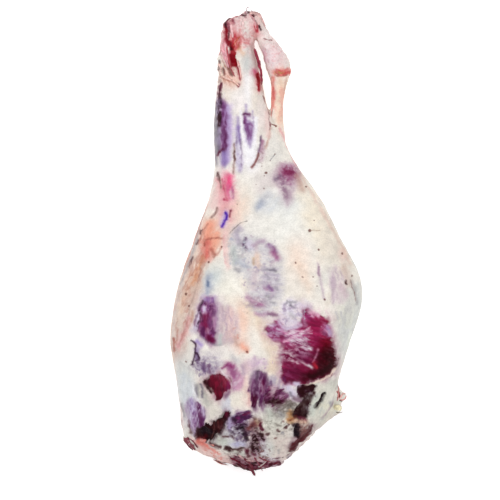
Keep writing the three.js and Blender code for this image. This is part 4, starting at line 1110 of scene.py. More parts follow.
# Loose strands, and dark strips of painted shadow at the tail stump
STRANDS = [
    # Hock
    strand([(222.5, 43), (223.5, 52), (226, 60), (229, 68)], 2.2, (228, 168, 176)),
    strand([(226.5, 46), (228, 56), (230, 66), (235, 77)], 1.0, (190, 92, 102)),
    strand([(218.5, 63), (221, 69), (220, 76)], 1.4, (230, 196, 188)),
    strand([(222, 76), (229, 79), (235, 82), (239.5, 86)], 1.5, (240, 200, 188)),
    strand([(237.5, 60), (240, 70), (241.5, 80)], 1.2, (238, 190, 184)),
    strand([(240.5, 36), (236, 41), (233, 47)], 0.6, (206, 110, 84)),
    strand([(247, 14), (246.5, 9), (248, 6.5), (251, 9), (254.5, 12.5)], 0.7, (214, 196, 200), lift=0.0),
    strand([(228, 22), (233, 18), (239, 16)], 1.2, (226, 170, 172)),
    strand([(231, 24), (232, 32), (233, 38)], 1.4, (234, 190, 192)),
    strand([(249, 14), (254, 20), (256.5, 30)], 1.1, (224, 166, 170)),
    strand([(241, 17), (243, 26), (242, 35)], 1.6, (238, 206, 204), lift=0.0),
    strand([(249.5, 14), (254.5, 12), (259, 14.5), (262.5, 20), (266, 28)], 2.3, (222, 182, 178), lift=0.0),
    strand([(254.5, 48), (257.5, 58), (260, 67), (261.5, 76), (262, 86)], 2.4, (150, 56, 74), lift=0.0),
    strand([(275.5, 71.5), (280, 75), (286, 75), (290, 71)], 1.2, (214, 124, 116), lift=0.0),
    strand([(272, 77), (271.5, 96), (271.5, 118)], 1.3, (228, 166, 156), lift=-0.2),
    # Tail stump
    strand([(337, 401), (338.5, 393), (338, 386)], 1.2, (214, 140, 138)),
    strand([(339, 399), (343, 394), (346, 394)], 1.3, (232, 182, 176)),
    strand([(340, 400), (344.5, 399), (346.5, 395)], 1.1, (218, 150, 146)),
    strand([(339, 398), (339.5, 394), (340, 391.5)], 1.1, (116, 54, 50)),
    # Dark strip in the gap between the two lumps: painted shade
    strand([(339.5, 400), (342.5, 401.5)], 0.9, (74, 48, 44)),
    strand([(334, 406), (338, 408), (342, 408.5)], 3.0, (238, 228, 192), lift=0.1, tip=0.85),
    # Dark strip under the cream lump: painted shadow
    strand([(336, 412), (340, 412.6), (343, 411.5)], 0.8, (96, 82, 70)),
    # Torn lower edge
    strand([(198, 448), (193, 441), (187, 437)], 1.5, (112, 50, 62), flat=0.4),
    strand([(184, 437), (188, 445), (194, 451)], 1.5, (116, 54, 66), flat=0.4),
    strand([(184.5, 438), (190, 443), (196, 450.5)], 3.2, (140, 76, 86), flat=0.3),
    strand([(186, 438.5), (189, 441.5), (192, 445)], 1.0, (226, 184, 186), flat=0.4, lift=1.0),
    strand([(230, 457), (239, 462), (247, 469)], 1.8, (104, 26, 44)),
    strand([(244, 458), (251, 465), (255.4, 476.5)], 1.8, (110, 32, 50)),
    strand([(248, 465), (252, 470), (255, 476)], 2.8, (112, 44, 58), flat=0.4, tip=0.4),
    strand([(254, 457), (259, 464), (263, 471)], 1.2, (132, 60, 74)),
    strand([(259, 457), (265, 460), (270.5, 461.5)], 1.2, (132, 60, 74)),
    strand([(273, 464.5), (277, 463), (281, 464)], 1.3, (104, 30, 46)),
    strand([(238, 455), (247, 460), (256, 461)], 1.2, (206, 164, 164)),
    strand([(236, 463), (244, 468), (252, 471)], 1.3, (84, 18, 34)),
    strand([(258, 467), (263, 464), (268, 459)], 0.9, (222, 200, 198)),
    strand([(213, 459), (221, 463.5), (229, 465)], 1.0, (190, 120, 116)),
]


class Noise:
    """Smooth gradient noise for arrays of points, always the same for a seed."""

    CELLS = 256  # the pattern repeats after so many
    GAIN = 1.6  # brings most values between -1 and 1

    def __init__(self, seed):
        draw = np.random.default_rng(seed)
        self.order = np.concatenate([draw.permutation(self.CELLS)] * 2)
        slopes = draw.normal(size=(self.CELLS, 3))
        self.slopes = slopes / np.linalg.norm(slopes, axis=1, keepdims=True)

    def __call__(self, points):
        last = self.CELLS - 1
        cell = np.floor(points).astype(int)
        inside = points - cell
        fade = inside ** 3 * (inside * (inside * 6 - 15) + 10)
        cell &= last
        total = np.zeros(len(points))
        for corner in np.ndindex(2, 2, 2):
            at = self.order[cell[:, 0] + corner[0]]
            at = self.order[(at + cell[:, 1] + corner[1]) & last]
            at = self.order[(at + cell[:, 2] + corner[2]) & last]
            offset = inside - np.array(corner)
            weight = np.prod(np.where(np.array(corner) == 1, fade, 1 - fade), axis=1)
            total += weight * np.einsum("ij,ij->i", self.slopes[at], offset)
        return total * self.GAIN


NOISE = Noise(NOISE_SEED)


def fractal(points, wavelength, octaves=3, seed=0.0):
    """Layers of noise, mostly between -1 and 1, with the longest wavelength in millimetres."""
    total = np.zeros(len(points))
    for octave in range(octaves):
        finer = points / (wavelength * MM) * 2 ** octave
        total += OCTAVE_SHARE ** octave * NOISE(finer + seed + OCTAVE_SHIFT * octave)
    return total


def smoothstep(value, low, high):
    """Goes smoothly from 0 at low to 1 at high."""
    share = np.clip((value - low) / (high - low), 0, 1)
    return share * share * (3 - 2 * share)


def faded(out, power=OVAL_POWER):
    """Strength at a distance: full in the middle, weak from 1 outwards."""
    return np.exp(-OVAL_FADE * out ** power)


def blend(colours, share, colour):
    """Mixes one colour, or an array of them, into an array of colours."""
    return colours + share[:, None] * (colour - colours)


def to_pixels(points):
    """Where the camera sees points of the leg, in the photograph's pixels."""
    scale = (CAMERA_HEIGHT - OUTLINE_HEIGHT) / (CAMERA_HEIGHT - points[:, 2]) / PIXEL
    across = PHOTO_MIDDLE + (points[:, 0] - CAMERA_SPOT[0]) * scale
    down = PHOTO_MIDDLE - (points[:, 1] - CAMERA_SPOT[1]) * scale
    return np.column_stack([across, down])


def rounded(outline):
    """A closed outline with its corners cut off."""
    corners = np.array(outline, float)
    for _ in range(CORNER_CUTS):
        following = np.roll(corners, -1, axis=0)
        near_cut = (1 - CORNER_CUT) * corners + CORNER_CUT * following
        far_cut = CORNER_CUT * corners + (1 - CORNER_CUT) * following
        corners = np.stack([near_cut, far_cut], axis=1).reshape(-1, 2)
    return corners


def curve_through(points, steps):
    """A smooth line through points, with so many steps from one to the next."""
    line = np.array(points, float)
    padded = np.vstack([2 * line[0] - line[1], line, 2 * line[-1] - line[-2]])
    found = []
    for a, b, c, d in zip(padded[:-3], padded[1:-2], padded[2:-1], padded[3:]):
        for t in np.arange(steps) / steps:
            found.append(0.5 * (2 * b + (c - a) * t + (2 * a - 5 * b + 4 * c - d) * t * t
                                + (3 * b - a - 3 * c + d) * t ** 3))
    return np.array(found + [line[-1]])


def distance_to_line(pixels, points):
    """Distance of each pixel to an open line."""
    line = np.array(points, float)
    least = np.full(len(pixels), np.inf)
    for start, end in zip(line[:-1], line[1:]):
        way = end - start
        share = np.clip((pixels - start) @ way / max(way @ way, TINY), 0, 1)
        least = np.minimum(least, np.linalg.norm(pixels - start - share[:, None] * way, axis=1))
    return least


def depth_inside(pixels, outline):
    """Distance of each pixel to a closed outline, above zero inside it."""
    corners = rounded(outline)
    closed = np.vstack([corners, corners[:1]])
    inside = np.zeros(len(pixels), bool)
    x, y = pixels[:, 0], pixels[:, 1]
    for (x0, y0), (x1, y1) in zip(closed[:-1], closed[1:]):
        if y0 == y1:
            continue
        crosses = (y0 > y) != (y1 > y)
        inside ^= crosses & (x < x0 + (y - y0) * (x1 - x0) / (y1 - y0))
    distance = distance_to_line(pixels, closed)
    return np.where(inside, distance, -distance)


def near(pixels, points, reach):
    """Which pixels lie within reach of the box round some points."""
    points = np.array(points, float)
    low, high = points.min(axis=0) - reach, points.max(axis=0) + reach
    return np.flatnonzero(((pixels > low) & (pixels < high)).all(axis=1))


def in_oval(pixels, middle, half, turn):
    """How far out in an oval each pixel lies: 0 in the middle, 1 on its rim."""
    angle = math.radians(turn)
    x = pixels[:, 0] - middle[0]
    y = middle[1] - pixels[:, 1]
    along = (x * math.cos(angle) + y * math.sin(angle)) / half[0]
    across = (y * math.cos(angle) - x * math.sin(angle)) / half[1]
    return np.hypot(along, across)


def flow(pixels):
    """Which way fibres run where nothing else is stated, in degrees."""
    return ALONG_LEG + (pixels[:, 0] - ORIGIN_PIXEL[0]) * FLOW_FAN


def turned(pixels, degrees):
    """Pixels as millimetres along and across a direction."""
    angle = np.radians(degrees)
    x, y = pixels[:, 0] * PIXEL / MM, -pixels[:, 1] * PIXEL / MM
    along = x * np.cos(angle) + y * np.sin(angle)
    across = y * np.cos(angle) - x * np.sin(angle)
    return along, across


def fibres(pixels, degrees, size, seed=0.0):
    """Noise drawn out along a direction; length and width in millimetres."""
    along, across = turned(pixels, degrees)
    long, thin = size
    return NOISE(np.column_stack([along / long, across / thin, np.full(len(pixels), seed + 0.5)]))


class Skin:
    """The leg's skin as arrays: vertices, edges and normals."""

    def __init__(self, mesh):
        self.mesh = mesh
        count = len(mesh.vertices)
        flat = np.empty(count * 3)
        mesh.vertices.foreach_get("co", flat)
        self.points = flat.reshape(-1, 3)
        pairs = np.empty(len(mesh.edges) * 2, int)
        mesh.edges.foreach_get("vertices", pairs)
        self.edges = pairs.reshape(-1, 2)
        self.valence = np.bincount(self.edges.ravel(), minlength=count)[:, None]

    def averaged(self, values):
        """Each vertex's mean of its neighbours' values."""
        total = np.zeros_like(values)
        np.add.at(total, self.edges[:, 0], values[self.edges[:, 1]])
        np.add.at(total, self.edges[:, 1], values[self.edges[:, 0]])
        return total / np.maximum(self.valence, 1)

    def smooth(self, rounds, chosen=1):
        """Moves the chosen vertices towards their neighbours."""
        for _ in range(rounds):
            self.points += SMOOTHING * chosen * (self.averaged(self.points) - self.points)

    def store(self):
        """Writes the vertices back to the mesh."""
        self.mesh.vertices.foreach_set("co", self.points.ravel())
        self.mesh.update()

    def normals(self):
        """Each vertex's way out of the leg."""
        self.store()
        flat = np.empty(len(self.points) * 3)
        self.mesh.vertices.foreach_get("normal", flat)
        return flat.reshape(-1, 3)


def attribute(mesh, name, kind, values):
    """Stores a colour, a vector or a number for each vertex."""
    field = {"FLOAT_COLOR": "color", "FLOAT_VECTOR": "vector", "FLOAT": "value"}[kind]
    if kind == "FLOAT_COLOR":
        values = np.column_stack([values, np.ones(len(values))])
    mesh.attributes.new(name, kind, "POINT").data.foreach_set(field, values.ravel())


def apply_modifiers(piece):
    """Puts what a piece's modifiers make into its mesh."""
    graph = bpy.context.evaluated_depsgraph_get()
    piece.data = bpy.data.meshes.new_from_object(piece.evaluated_get(graph))
    piece.modifiers.clear()


def triangle_count(mesh):
    """How many triangles a mesh's faces come to."""
    return sum(len(face.vertices) - 2 for face in mesh.polygons)


def detailed(pixels, normals):
    """Which vertices face up and lie near bared muscle, a streak, a mark or mottling."""
    fine = np.zeros(len(pixels), bool)
    for item in WINDOWS + STROKES + MARKS:
        if item["soft"] and not item["under"]:
            fine[near(pixels, item.get("outline") or item["points"], DETAIL_REACH)] = True
    for item in DAPPLES:
        if not item["under"]:
            fine[near(pixels, [item["middle"]], max(item["half"]))] = True
    return fine & (normals[:, 2] > STEEP)


def fine_skin():
    """A mesh over the CAD solid, fine where it carries detail and evenly thinned out elsewhere."""
    piece = bpy.data.objects.new("veal_leg_flesh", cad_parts["veal_leg"].data.copy())
    bpy.context.scene.collection.objects.link(piece)
    remesh = piece.modifiers.new("remesh", "REMESH")
    remesh.mode = "VOXEL"
    remesh.voxel_size = VOXEL
    apply_modifiers(piece)

    skin = Skin(piece.data)
    skin.smooth(SMOOTHING_ROUNDS)
    coarse = np.flatnonzero(~detailed(to_pixels(skin.points), skin.normals()))
    piece.vertex_groups.new(name="coarse").add(coarse.tolist(), 1.0, "REPLACE")
    draw = np.random.default_rng(ROUGHENING_SEED)
    skin.points[coarse] += draw.normal(0, ROUGHENING, (len(coarse), 3))
    skin.store()
    thin = piece.modifiers.new("thin", "DECIMATE")
    thin.ratio = MOST_TRIANGLES / triangle_count(piece.data)
    thin.vertex_group = "coarse"
    apply_modifiers(piece)

    skin = Skin(piece.data)
    coarse = np.array([len(vertex.groups) > 0 for vertex in piece.data.vertices])[:, None]
    skin.smooth(SMOOTHING_ROUNDS // 2, coarse)
    skin.store()
    piece.vertex_groups.clear()
    return piece


class Places:
    """What the feature lists need to know of each vertex."""

    def __init__(self, points, normals):
        self.points = points
        self.pixels = to_pixels(points)
        wander = np.column_stack([fractal(points, WANDER_WAVE, seed=seed) for seed in (0, 31)])
        drift = np.column_stack([fractal(points, DRIFT_WAVE, seed=seed) for seed in (50, 71)])
        self.shaken = self.pixels + WANDER * wander + DRIFT * drift
        self.slightly_shaken = self.pixels + LINE_WANDER * wander
        self.mottle = fractal(points, MOTTLE_WAVE, seed=9)
        slope = normals[:, 2] + SIDE_WANDER * fractal(points, SIDE_WAVE, octaves=2, seed=23)
        self.sides = {False: smoothstep(slope, *OUTER_SIDE), True: 1 - smoothstep(slope, *INNER_SIDE)}

    def on_side(self, inside, rows, under):
        """Distances cut off where the surface turns to the other side."""
        return np.minimum(inside, (self.sides[under][rows] - 0.5) * 2 * FAR)


def claimed(deepest, rows, inside):
    """Which rows lie deeper in a feature than in those before it; their depth is noted."""
    deeper = inside > deepest[rows]
    deepest[rows[deeper]] = inside[deeper]
    return rows[deeper]


def muscle_fields(places):
    """Distance into the nearest bared muscle in millimetres, with that muscle's looks."""
    pixels = places.shaken
    count = len(pixels)
    looks = ("grain", "ragged", "streak", "soft", "depth", "halo")
    fields = {name: np.zeros(count) for name in looks}
    fields["grain"] = flow(places.pixels)
    fields["inside"] = np.full(count, -FAR)
    fields["colour"] = np.tile(paint(MAROON), (count, 1))
    fields["seed"] = np.zeros(count)
    for index, item in enumerate(WINDOWS):
        chosen = near(pixels, item["outline"], FAR)
        inside = depth_inside(pixels[chosen], item["outline"]) + CORNER_LOSS
        rows = claimed(fields["inside"], chosen, places.on_side(inside, chosen, item["under"]))
        fields["colour"][rows] = paint(item["colour"])
        fields["seed"][rows] = index
        for name in looks:
            fields[name][rows] = item[name]
    fields["inside"] *= PIXEL / MM
    return fields


def webbed(streak, places):
    """How streaky the muscle is, with the webs of pale fibres."""
    for middle, half, density, turn in WEBS:
        dense = density * faded(in_oval(places.shaken, middle, half, turn)) * places.sides[False]
        streak = np.maximum(streak, dense)
    return streak


def grain_space(places, fields):
    """Places along and across the fibres, in millimetres."""
    along, across = turned(places.pixels, fields["grain"])
    layer = places.points[:, 2] / MM * LAYER_RISE + LAYER_STEP * fields["seed"]
    return np.column_stack([along, across, layer])


def fleck_depth(places, item, index):
    """Which vertices lie near a crowd of flecks, and how deep in a fleck, in millimetres."""
    rows = near(places.slightly_shaken, [item["middle"]], OVAL_REACH * max(item["half"]))
    out = in_oval(places.shaken[rows], item["middle"], item["half"], item["turn"])
    weight = faded(out, FLECK_POWER) * item["density"]
    grit = fractal(places.points[rows], FLECK_WAVE * item["size"], octaves=4, seed=FLECK_SEED * index)
    inside = (grit - FLECK_LEVEL + FLECK_CROWD * weight) * FLECK_SLOPE * item["size"]
    return rows, places.on_side(np.where(weight > LEAST_CROWD, inside, -FAR), rows, item["under"])


def mark_depth(places, item, uneven):
    """Which vertices lie near a mark, and how deep in it, in millimetres."""
    rows = near(places.slightly_shaken, item["points"], FAR)
    distance = distance_to_line(places.slightly_shaken[rows], item["points"])
    inside = item["half"] * uneven[rows] - distance
    return rows, places.on_side(inside * PIXEL / MM, rows, item["under"])


def mark_fields(places, ground):
    """Distance into the nearest fleck or mark in millimetres, with its looks."""
    count = len(ground)
    fields = dict(inside=np.full(count, -FAR), colour=ground.copy(), depth=np.zeros(count),
                  soft=np.full(count, MARK_SOFT))
    for index, item in enumerate(FLECKS):
        rows = claimed(fields["inside"], *fleck_depth(places, item, index))
        kind = fractal(places.points[rows], KIND_WAVE, seed=KIND_SEED * index)
        one = np.tile(paint(item["colour"]), (len(rows), 1))
        fields["colour"][rows] = blend(one, smoothstep(kind, *KIND_EDGE), paint(item["other"]))
        fields["depth"][rows] = item["depth"]
        fields["soft"][rows] = item["soft"]
    uneven = MARK_SHARE + MARK_UNEVEN * fractal(places.points, UNEVEN_WAVE, seed=2)
    for item in MARKS:
        rows = claimed(fields["inside"], *mark_depth(places, item, uneven))
        strength = np.full(len(rows), item["strength"])
        fields["colour"][rows] = blend(ground[rows], strength, paint(item["colour"]))
        fields["depth"][rows] = item["depth"]
        fields["soft"][rows] = item["soft"]
    return fields


def stained_and_shaded(colours, places, tints, bands=()):
    """Lays soft, uneven stains and painted shade over an array of colours."""
    patchy = np.clip(1 + STAIN_MOTTLE * places.mottle, LEAST_STAIN, 1)
    for item in tints:
        out = in_oval(places.shaken, item["middle"], item["half"], item["turn"])
        weight = item["strength"] * faded(out) * patchy * places.sides[item["under"]]
        colours = blend(colours, weight, paint(item["colour"]))
    for item in bands:
        out = distance_to_line(places.shaken, item["points"]) / item["half"]
        weight = item["strength"] * faded(out, BAND_POWER) * patchy * places.sides[item["under"]]
        colours = blend(colours, weight, paint(item["colour"]))
    return colours


def veiled(colours, places):
    """Lets muscle show through thin fat, in streaks along its fibres."""
    for index, item in enumerate(VEILS):
        rows = near(places.shaken, item["outline"], FAR)
        pixels = places.shaken[rows]
        inside = depth_inside(pixels, item["outline"])
        streaks = fibres(pixels, item["grain"], VEIL_THREAD, index)
        streaks = streaks + FINE_SHARE * fibres(pixels, item["grain"], FINE_VEIL_THREAD, index)
        weight = item["strength"] * smoothstep(inside, -item["soft"], item["soft"])
        weight = np.clip(weight * (1 + item["streak"] * streaks), 0, MOST_VEILED)
        weight = weight * places.sides[item["under"]][rows]
        colours[rows] = blend(colours[rows], weight, paint(item["colour"]))
    return colours


def stroke_weights(places):
    """Which vertices each stroke lies on, and how strongly."""
    pixels = places.slightly_shaken
    uneven = 1 + STROKE_UNEVEN * fractal(places.points, UNEVEN_WAVE, seed=2)
    crumbs = STROKE_CRUMBS * fractal(places.points, CRUMB_WAVE, octaves=2, seed=6)
    found = []
    for item in STROKES:
        line = curve_through(item["points"], STROKE_STEPS)
        soft = item["soft"] or 0
        rows = near(pixels, line, 2 * item["half"] + soft)
        distance = distance_to_line(pixels[rows], line)
        half = item["half"] * uneven[rows]
        if soft:
            weight = smoothstep(half + crumbs[rows] - distance, -soft, soft)
        else:
            weight = np.exp(-(distance / half) ** 2)
        found.append((rows, weight * item["strength"] * places.sides[item["under"]][rows], item))
    return found


def dapple_weights(places):
    """Which vertices each patch of mottling lies on, and how strongly."""
    found = []
    for index, item in enumerate(DAPPLES):
        rows = near(places.shaken, [item["middle"]], OVAL_REACH * max(item["half"]))
        pixels = places.shaken[rows]
        size, cut, grain = item["size"], item["cut"], item["grain"]
        if grain is None:
            patches = fractal(places.points[rows], size, seed=DAPPLE_SEED * index)
        else:
            patches = fibres(pixels, grain, (DAPPLE_LONG * size, size), index)
            fine = (FINE_LONG * size, FINE_THIN * size)
            patches += FINE_SHARE * fibres(pixels, grain, fine, index + FINE_SEED)
        fade = faded(in_oval(pixels, item["middle"], item["half"], item["turn"]))
        patches = smoothstep(patches, cut - DAPPLE_SOFT, cut + DAPPLE_SOFT)
        weight = item["strength"] * fade * patches
        found.append((rows, weight * places.sides[item["under"]][rows], item))
    return found


def painted(colours, touches):
    """Lays strokes and mottling over an array of colours."""
    for rows, weight, item in touches:
        colours[rows] = blend(colours[rows], weight, paint(item["colour"]))
    return colours


def muscle_colours(places, fields, grain, bundles):
    """Bared muscle: stains and painted shadow, lighter and darker bundles, and marbling, most of it near
    the edges.
    """
    muscle = stained_and_shaded(fields["colour"], places, MUSCLE_TINTS)
    muscle = muscle * (1 + BUNDLE_SHADE * bundles)[:, None]
    marbling = NOISE(grain / MARBLING + MARBLING_SHIFT)
    marbling = marbling + FINE_SHARE * NOISE(grain / FINE_MARBLING + FINE_SHIFT)
    marbling = smoothstep(marbling + MARBLING_MOTTLE * places.mottle, *MARBLING_EDGE)
    shallow = np.exp(-np.maximum(fields["inside"], 0) / MARBLING_REACH)
    dense = MARBLING_DEEP + MARBLING_SHALLOW * shallow
    pale = np.clip(marbling * fields["streak"] * dense, 0, MOST_PALE)
    return blend(muscle, pale, paint(THIN_FAT))


def fat_colours(places, fields, muscle):
    """The fat cover: ivory with warmer and cooler places, stains and painted shade, and thin places beside
    bared muscle.
    """
    way = flow(places.pixels)
    broad = fibres(places.shaken, way, BROAD_FAT) + BROAD_MOTTLE * places.mottle
    fat = np.tile(paint(IVORY), (len(broad), 1))
    fat = blend(fat, WARM_SHARE * smoothstep(broad, *WARM_EDGE), paint(WARM_FAT))
    fat = blend(fat, COOL_SHARE * smoothstep(-broad, *COOL_EDGE), paint(COOL_FAT))
    fat = veiled(stained_and_shaded(fat, places, FAT_TINTS, FAT_BANDS), places)
    threads = fibres(places.shaken, way, FAT_THREAD, seed=4) + THREAD_MOTTLE * places.mottle
    fat = fat * (1 - THREAD_SHADE * threads)[:, None]
    outside = np.maximum(-fields["inside"], 0)
    patchy = np.clip(1 + HALO_MOTTLE * places.mottle + HALO_THREADS * threads, *HALO_RANGE)
    thin = np.clip(fields["halo"] * np.exp(-outside / HALO_REACH) * patchy, 0, MOST_PALE)
    return blend(fat, thin, HALO_MUSCLE * muscle + HALO_FAT * paint(THIN_FAT))


def relief(places, fields, bundles, bared, marks, touches):
    """How far the skin rises or sinks, in millimetres."""
    points, down = places.points, places.pixels[:, 1]
    torn = smoothstep(down, *RUMP_TORN) + smoothstep(down, *HOCK_TORN)
    height = -fields["depth"] * bared + BUNDLE_HEIGHT * bared * bundles
    lumps = FAT_HEIGHT * fractal(points, FAT_WAVE, seed=61) + MOTTLE_HEIGHT * places.mottle
    height += (1 - bared) * lumps
    height += torn * TORN_HEIGHT * fractal(points, TORN_WAVE, octaves=4, seed=77)
    height -= marks["depth"] * smoothstep(marks["inside"], *MARK_EDGE)
    for rows, weight, item in touches:
        height[rows] += item["lift"] * weight
    return height


def flesh():
    """The leg: fat cover, bared muscle, tendon and torn ends on one skin."""
    piece = fine_skin()
    skin = Skin(piece.data)
    normals = skin.normals()
    places = Places(skin.points.copy(), normals)
    fields = muscle_fields(places)
    fields["streak"] = webbed(fields["streak"], places)
    grain = grain_space(places, fields)
    bundles = NOISE(grain / BUNDLE)
    muscle = muscle_colours(places, fields, grain, bundles)
    touches = stroke_weights(places) + dapple_weights(places)
    fat = painted(fat_colours(places, fields, muscle), touches)
    muscle = painted(muscle, touches)
    bared = smoothstep(fields["inside"], *BARED_EDGE)
    marks = mark_fields(places, blend(fat, bared, muscle))

    skin.points += normals * relief(places, fields, bundles, bared, marks, touches)[:, None] * MM
    skin.points[:, 2] = np.maximum(skin.points[:, 2], 0.0)
    skin.store()

    mesh = piece.data
    uneven = fractal(places.points, FADE_WAVE, octaves=2, seed=15)
    softer = SOFT_LEAST + SOFT_MORE * smoothstep(uneven, *SOFT_EDGE)
    colours = dict(fat_tint=fat, muscle_tint=muscle, mark_tint=marks["colour"])
    for name, values in colours.items():
        attribute(mesh, name, "FLOAT_COLOR", linear(values))
    numbers = {name: fields[name] for name in ("inside", "ragged", "streak")}
    numbers["soft"] = np.maximum(fields["soft"] * softer, LEAST_SOFT)
    numbers.update(marks=marks["inside"], mark_soft=marks["soft"])
    for name, values in numbers.items():
        attribute(mesh, name, "FLOAT", values)
    attribute(mesh, "grain", "FLOAT_VECTOR", grain)
    mesh.shade_smooth()
    mesh.materials.clear()
    mesh.materials.append(flesh_material())
    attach(piece, "root")
    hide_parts("veal_leg")
    return piece


def looking_down(pixel):
    """The point at outline height that the camera sees at a pixel."""
    x = CAMERA_SPOT[0] + (pixel[0] - PHOTO_MIDDLE) * PIXEL
    y = CAMERA_SPOT[1] + (PHOTO_MIDDLE - pixel[1]) * PIXEL
    return Vector((x, y, OUTLINE_HEIGHT))


def on_skin(tree, pixel):
    """Where a pixel lies on the skin, and the way out of it there."""
    eye = Vector((*CAMERA_SPOT, CAMERA_HEIGHT))
    aim = looking_down(pixel)
    spot, normal, _, _ = tree.ray_cast(eye, (aim - eye).normalized())
    if spot is None:
        nearest, normal, _, _ = tree.find_nearest(aim)
        spot = Vector((aim.x, aim.y, nearest.z))
    return spot, normal


def strand_rings(tree, item):
    """Rings of points round one strand, laid on the skin."""
    pixels = curve_through(item["points"], STRAND_STEPS)
    spots = [on_skin(tree, pixel) for pixel in pixels]
    heights = np.array([spot.z for spot, _ in spots])
    for _ in range(STRAND_LIFTS):
        heights[1:-1] = np.maximum(heights[1:-1], (heights[:-2] + heights[2:]) / 2)
    half = item["half"] * PIXEL
    last = len(spots) - 1
    rings = []
    for index, (spot, normal) in enumerate(spots):
        share = index / last
        taper = 1 + (item["tip"] - 1) * share
        width = half * taper * (1 - abs(2 * share - 1) ** STRAND_BLUNT) ** 0.5
        step = pixels[min(index + 1, last)] - pixels[max(index - 1, 0)]
        way = Vector((step[0], -step[1], 0)).normalized()
        side = way.cross(normal).normalized()
        out = side.cross(way).normalized()
        middle = Vector((spot.x, spot.y, heights[index])) + out * half * item["lift"]
        thick = width * item["flat"]
        for turn in np.arange(STRAND_SIDES) / STRAND_SIDES * 2 * math.pi:
            rings.append(middle + side * (width * math.cos(turn)) + out * (thick * math.sin(turn)))
    return np.array(rings).reshape(-1, STRAND_SIDES, 3)


def strand_faces(first, count):
    """The faces of a strand of so many rings, from its first vertex on."""
    faces = []
    for start in range(first, first + (count - 1) * STRAND_SIDES, STRAND_SIDES):
        for side in range(STRAND_SIDES):
            a = start + side
            b = start + (side + 1) % STRAND_SIDES
            faces.append((a, b, b + STRAND_SIDES, a + STRAND_SIDES))
    last = first + (count - 1) * STRAND_SIDES
    faces.append(tuple(first + side for side in reversed(range(STRAND_SIDES))))
    faces.append(tuple(last + side for side in range(STRAND_SIDES)))
    return faces


def strands(leg):
    """Loose cords, shreds and torn edges, and dark strips of painted shadow, as one piece of mesh."""
    leg.data.update()
    tree = BVHTree.FromPolygons([vertex.co.copy() for vertex in leg.data.vertices],
                                [face.vertices[:] for face in leg.data.polygons])
    points, faces, colours, grain = [], [], [], []
    for index, item in enumerate(STRANDS):
        rings = strand_rings(tree, item)
        faces.extend(strand_faces(len(points), len(rings)))
        flat = rings.reshape(-1, 3)
        middle = np.repeat(rings.mean(axis=1), STRAND_SIDES, axis=0)
        bumps = fractal(flat, STRAND_BUMP_WAVE, seed=STRAND_BUMP_SEED * index)[:, None]
        points.extend(flat + (flat - middle) * (STRAND_BUMP * bumps) + STRAND_SHIFT * MM * bumps)
        shade = 1 + STRAND_SHADE * fractal(flat, STRAND_SHADE_WAVE, seed=STRAND_SHADE_SEED * index)
        colours.extend(linear(paint(item["colour"])) * shade[:, None])
        steps = [(ring, side, index) for ring in range(len(rings)) for side in range(STRAND_SIDES)]
        grain.extend(np.array(steps) * STRAND_GRAIN)
    mesh = bpy.data.meshes.new("torn_strands_and_shadow")
    mesh.from_pydata([tuple(point) for point in points], [], faces)
    attribute(mesh, "tint", "FLOAT_COLOR", np.array(colours))
    attribute(mesh, "grain", "FLOAT_VECTOR", np.array(grain))
    mesh.shade_smooth()
    mesh.materials.append(strand_material())
    piece = bpy.data.objects.new("torn_strands_and_shadow", mesh)
    bpy.context.scene.collection.objects.link(piece)
    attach(piece, "root")


class Nodes:
    """Short ways to build a material's nodes."""

    def __init__(self, name):
        self.material = bpy.data.materials.new(name)
        self.material.use_nodes = True
        self.tree = self.material.node_tree
        self.shader = self.tree.nodes["Principled BSDF"]

    def add(self, kind, values=(), **settings):
        """A node with its settings, and with values or links on its inputs."""
        node = self.tree.nodes.new(kind)
        for name, value in settings.items():
            setattr(node, name, value)
        for key, value in dict(values).items():
            self.put(value, node.inputs[key])
        return node

    def put(self, value, socket):
        """Sets a socket to a value, or links it."""
        if isinstance(value, bpy.types.NodeSocket):
            self.tree.links.new(value, socket)
        else:
            socket.default_value = value

    def set(self, **values):
        """Puts values or links on the shader; an underscore in a name stands for a space."""
        for name, value in values.items():
            self.put(value, self.shader.inputs[name.replace("_", " ")])

    def attribute(self, name, output="Fac"):
        return self.add("ShaderNodeAttribute", attribute_name=name).outputs[output]

    def math(self, operation, first, second=0.0, third=0.0):
        node = self.add("ShaderNodeMath", {0: first, 1: second, 2: third}, operation=operation)
        return node.outputs[0]

    def noise(self, vector, scale=1.0, detail=2.0):
        values = {"Vector": vector, "Scale": scale, "Detail": detail}
        return self.add("ShaderNodeTexNoise", values).outputs["Fac"]

    def grain(self, size, detail=3.0):
        """Noise drawn out along the stored grain; length, width and depth in millimetres."""
        scale = tuple(1 / length for length in size)
        values = {"Vector": self.attribute("grain", "Vector"), "Scale": scale}
        return self.noise(self.add("ShaderNodeMapping", values).outputs[0], detail=detail)

    def ramp(self, value, low, high, start=0.0, end=1.0):
        """Goes smoothly from start at low to end at high."""
        values = {"Value": value, "From Min": low, "From Max": high, "To Min": start, "To Max": end}
        node = self.add("ShaderNodeMapRange", values, interpolation_type="SMOOTHSTEP")
        return node.outputs[0]

    def mix(self, share, first, second, blend_type="MIX"):
        node = self.add("ShaderNodeMix", data_type="RGBA", blend_type=blend_type)
        for socket, value in ((node.inputs[0], share), (node.inputs[6], first), (node.inputs[7], second)):
            self.put(value, socket)
        return node.outputs[2]

    def shaded(self, colour, light):
        """A colour made lighter or darker."""
        return self.mix(1.0, colour, self.grey(light), "MULTIPLY")

    def grey(self, value):
        return self.add("ShaderNodeCombineColor", {0: value, 1: value, 2: value}).outputs[0]

    def bump(self, height, strength, distance):
        """A bumpy normal; distance in metres."""
        values = {"Height": height, "Strength": strength, "Distance": distance}
        return self.add("ShaderNodeBump", values).outputs[0]


def rgba(colour):
    """An sRGB colour for a node's socket."""
    return (*linear(paint(colour)), 1.0)


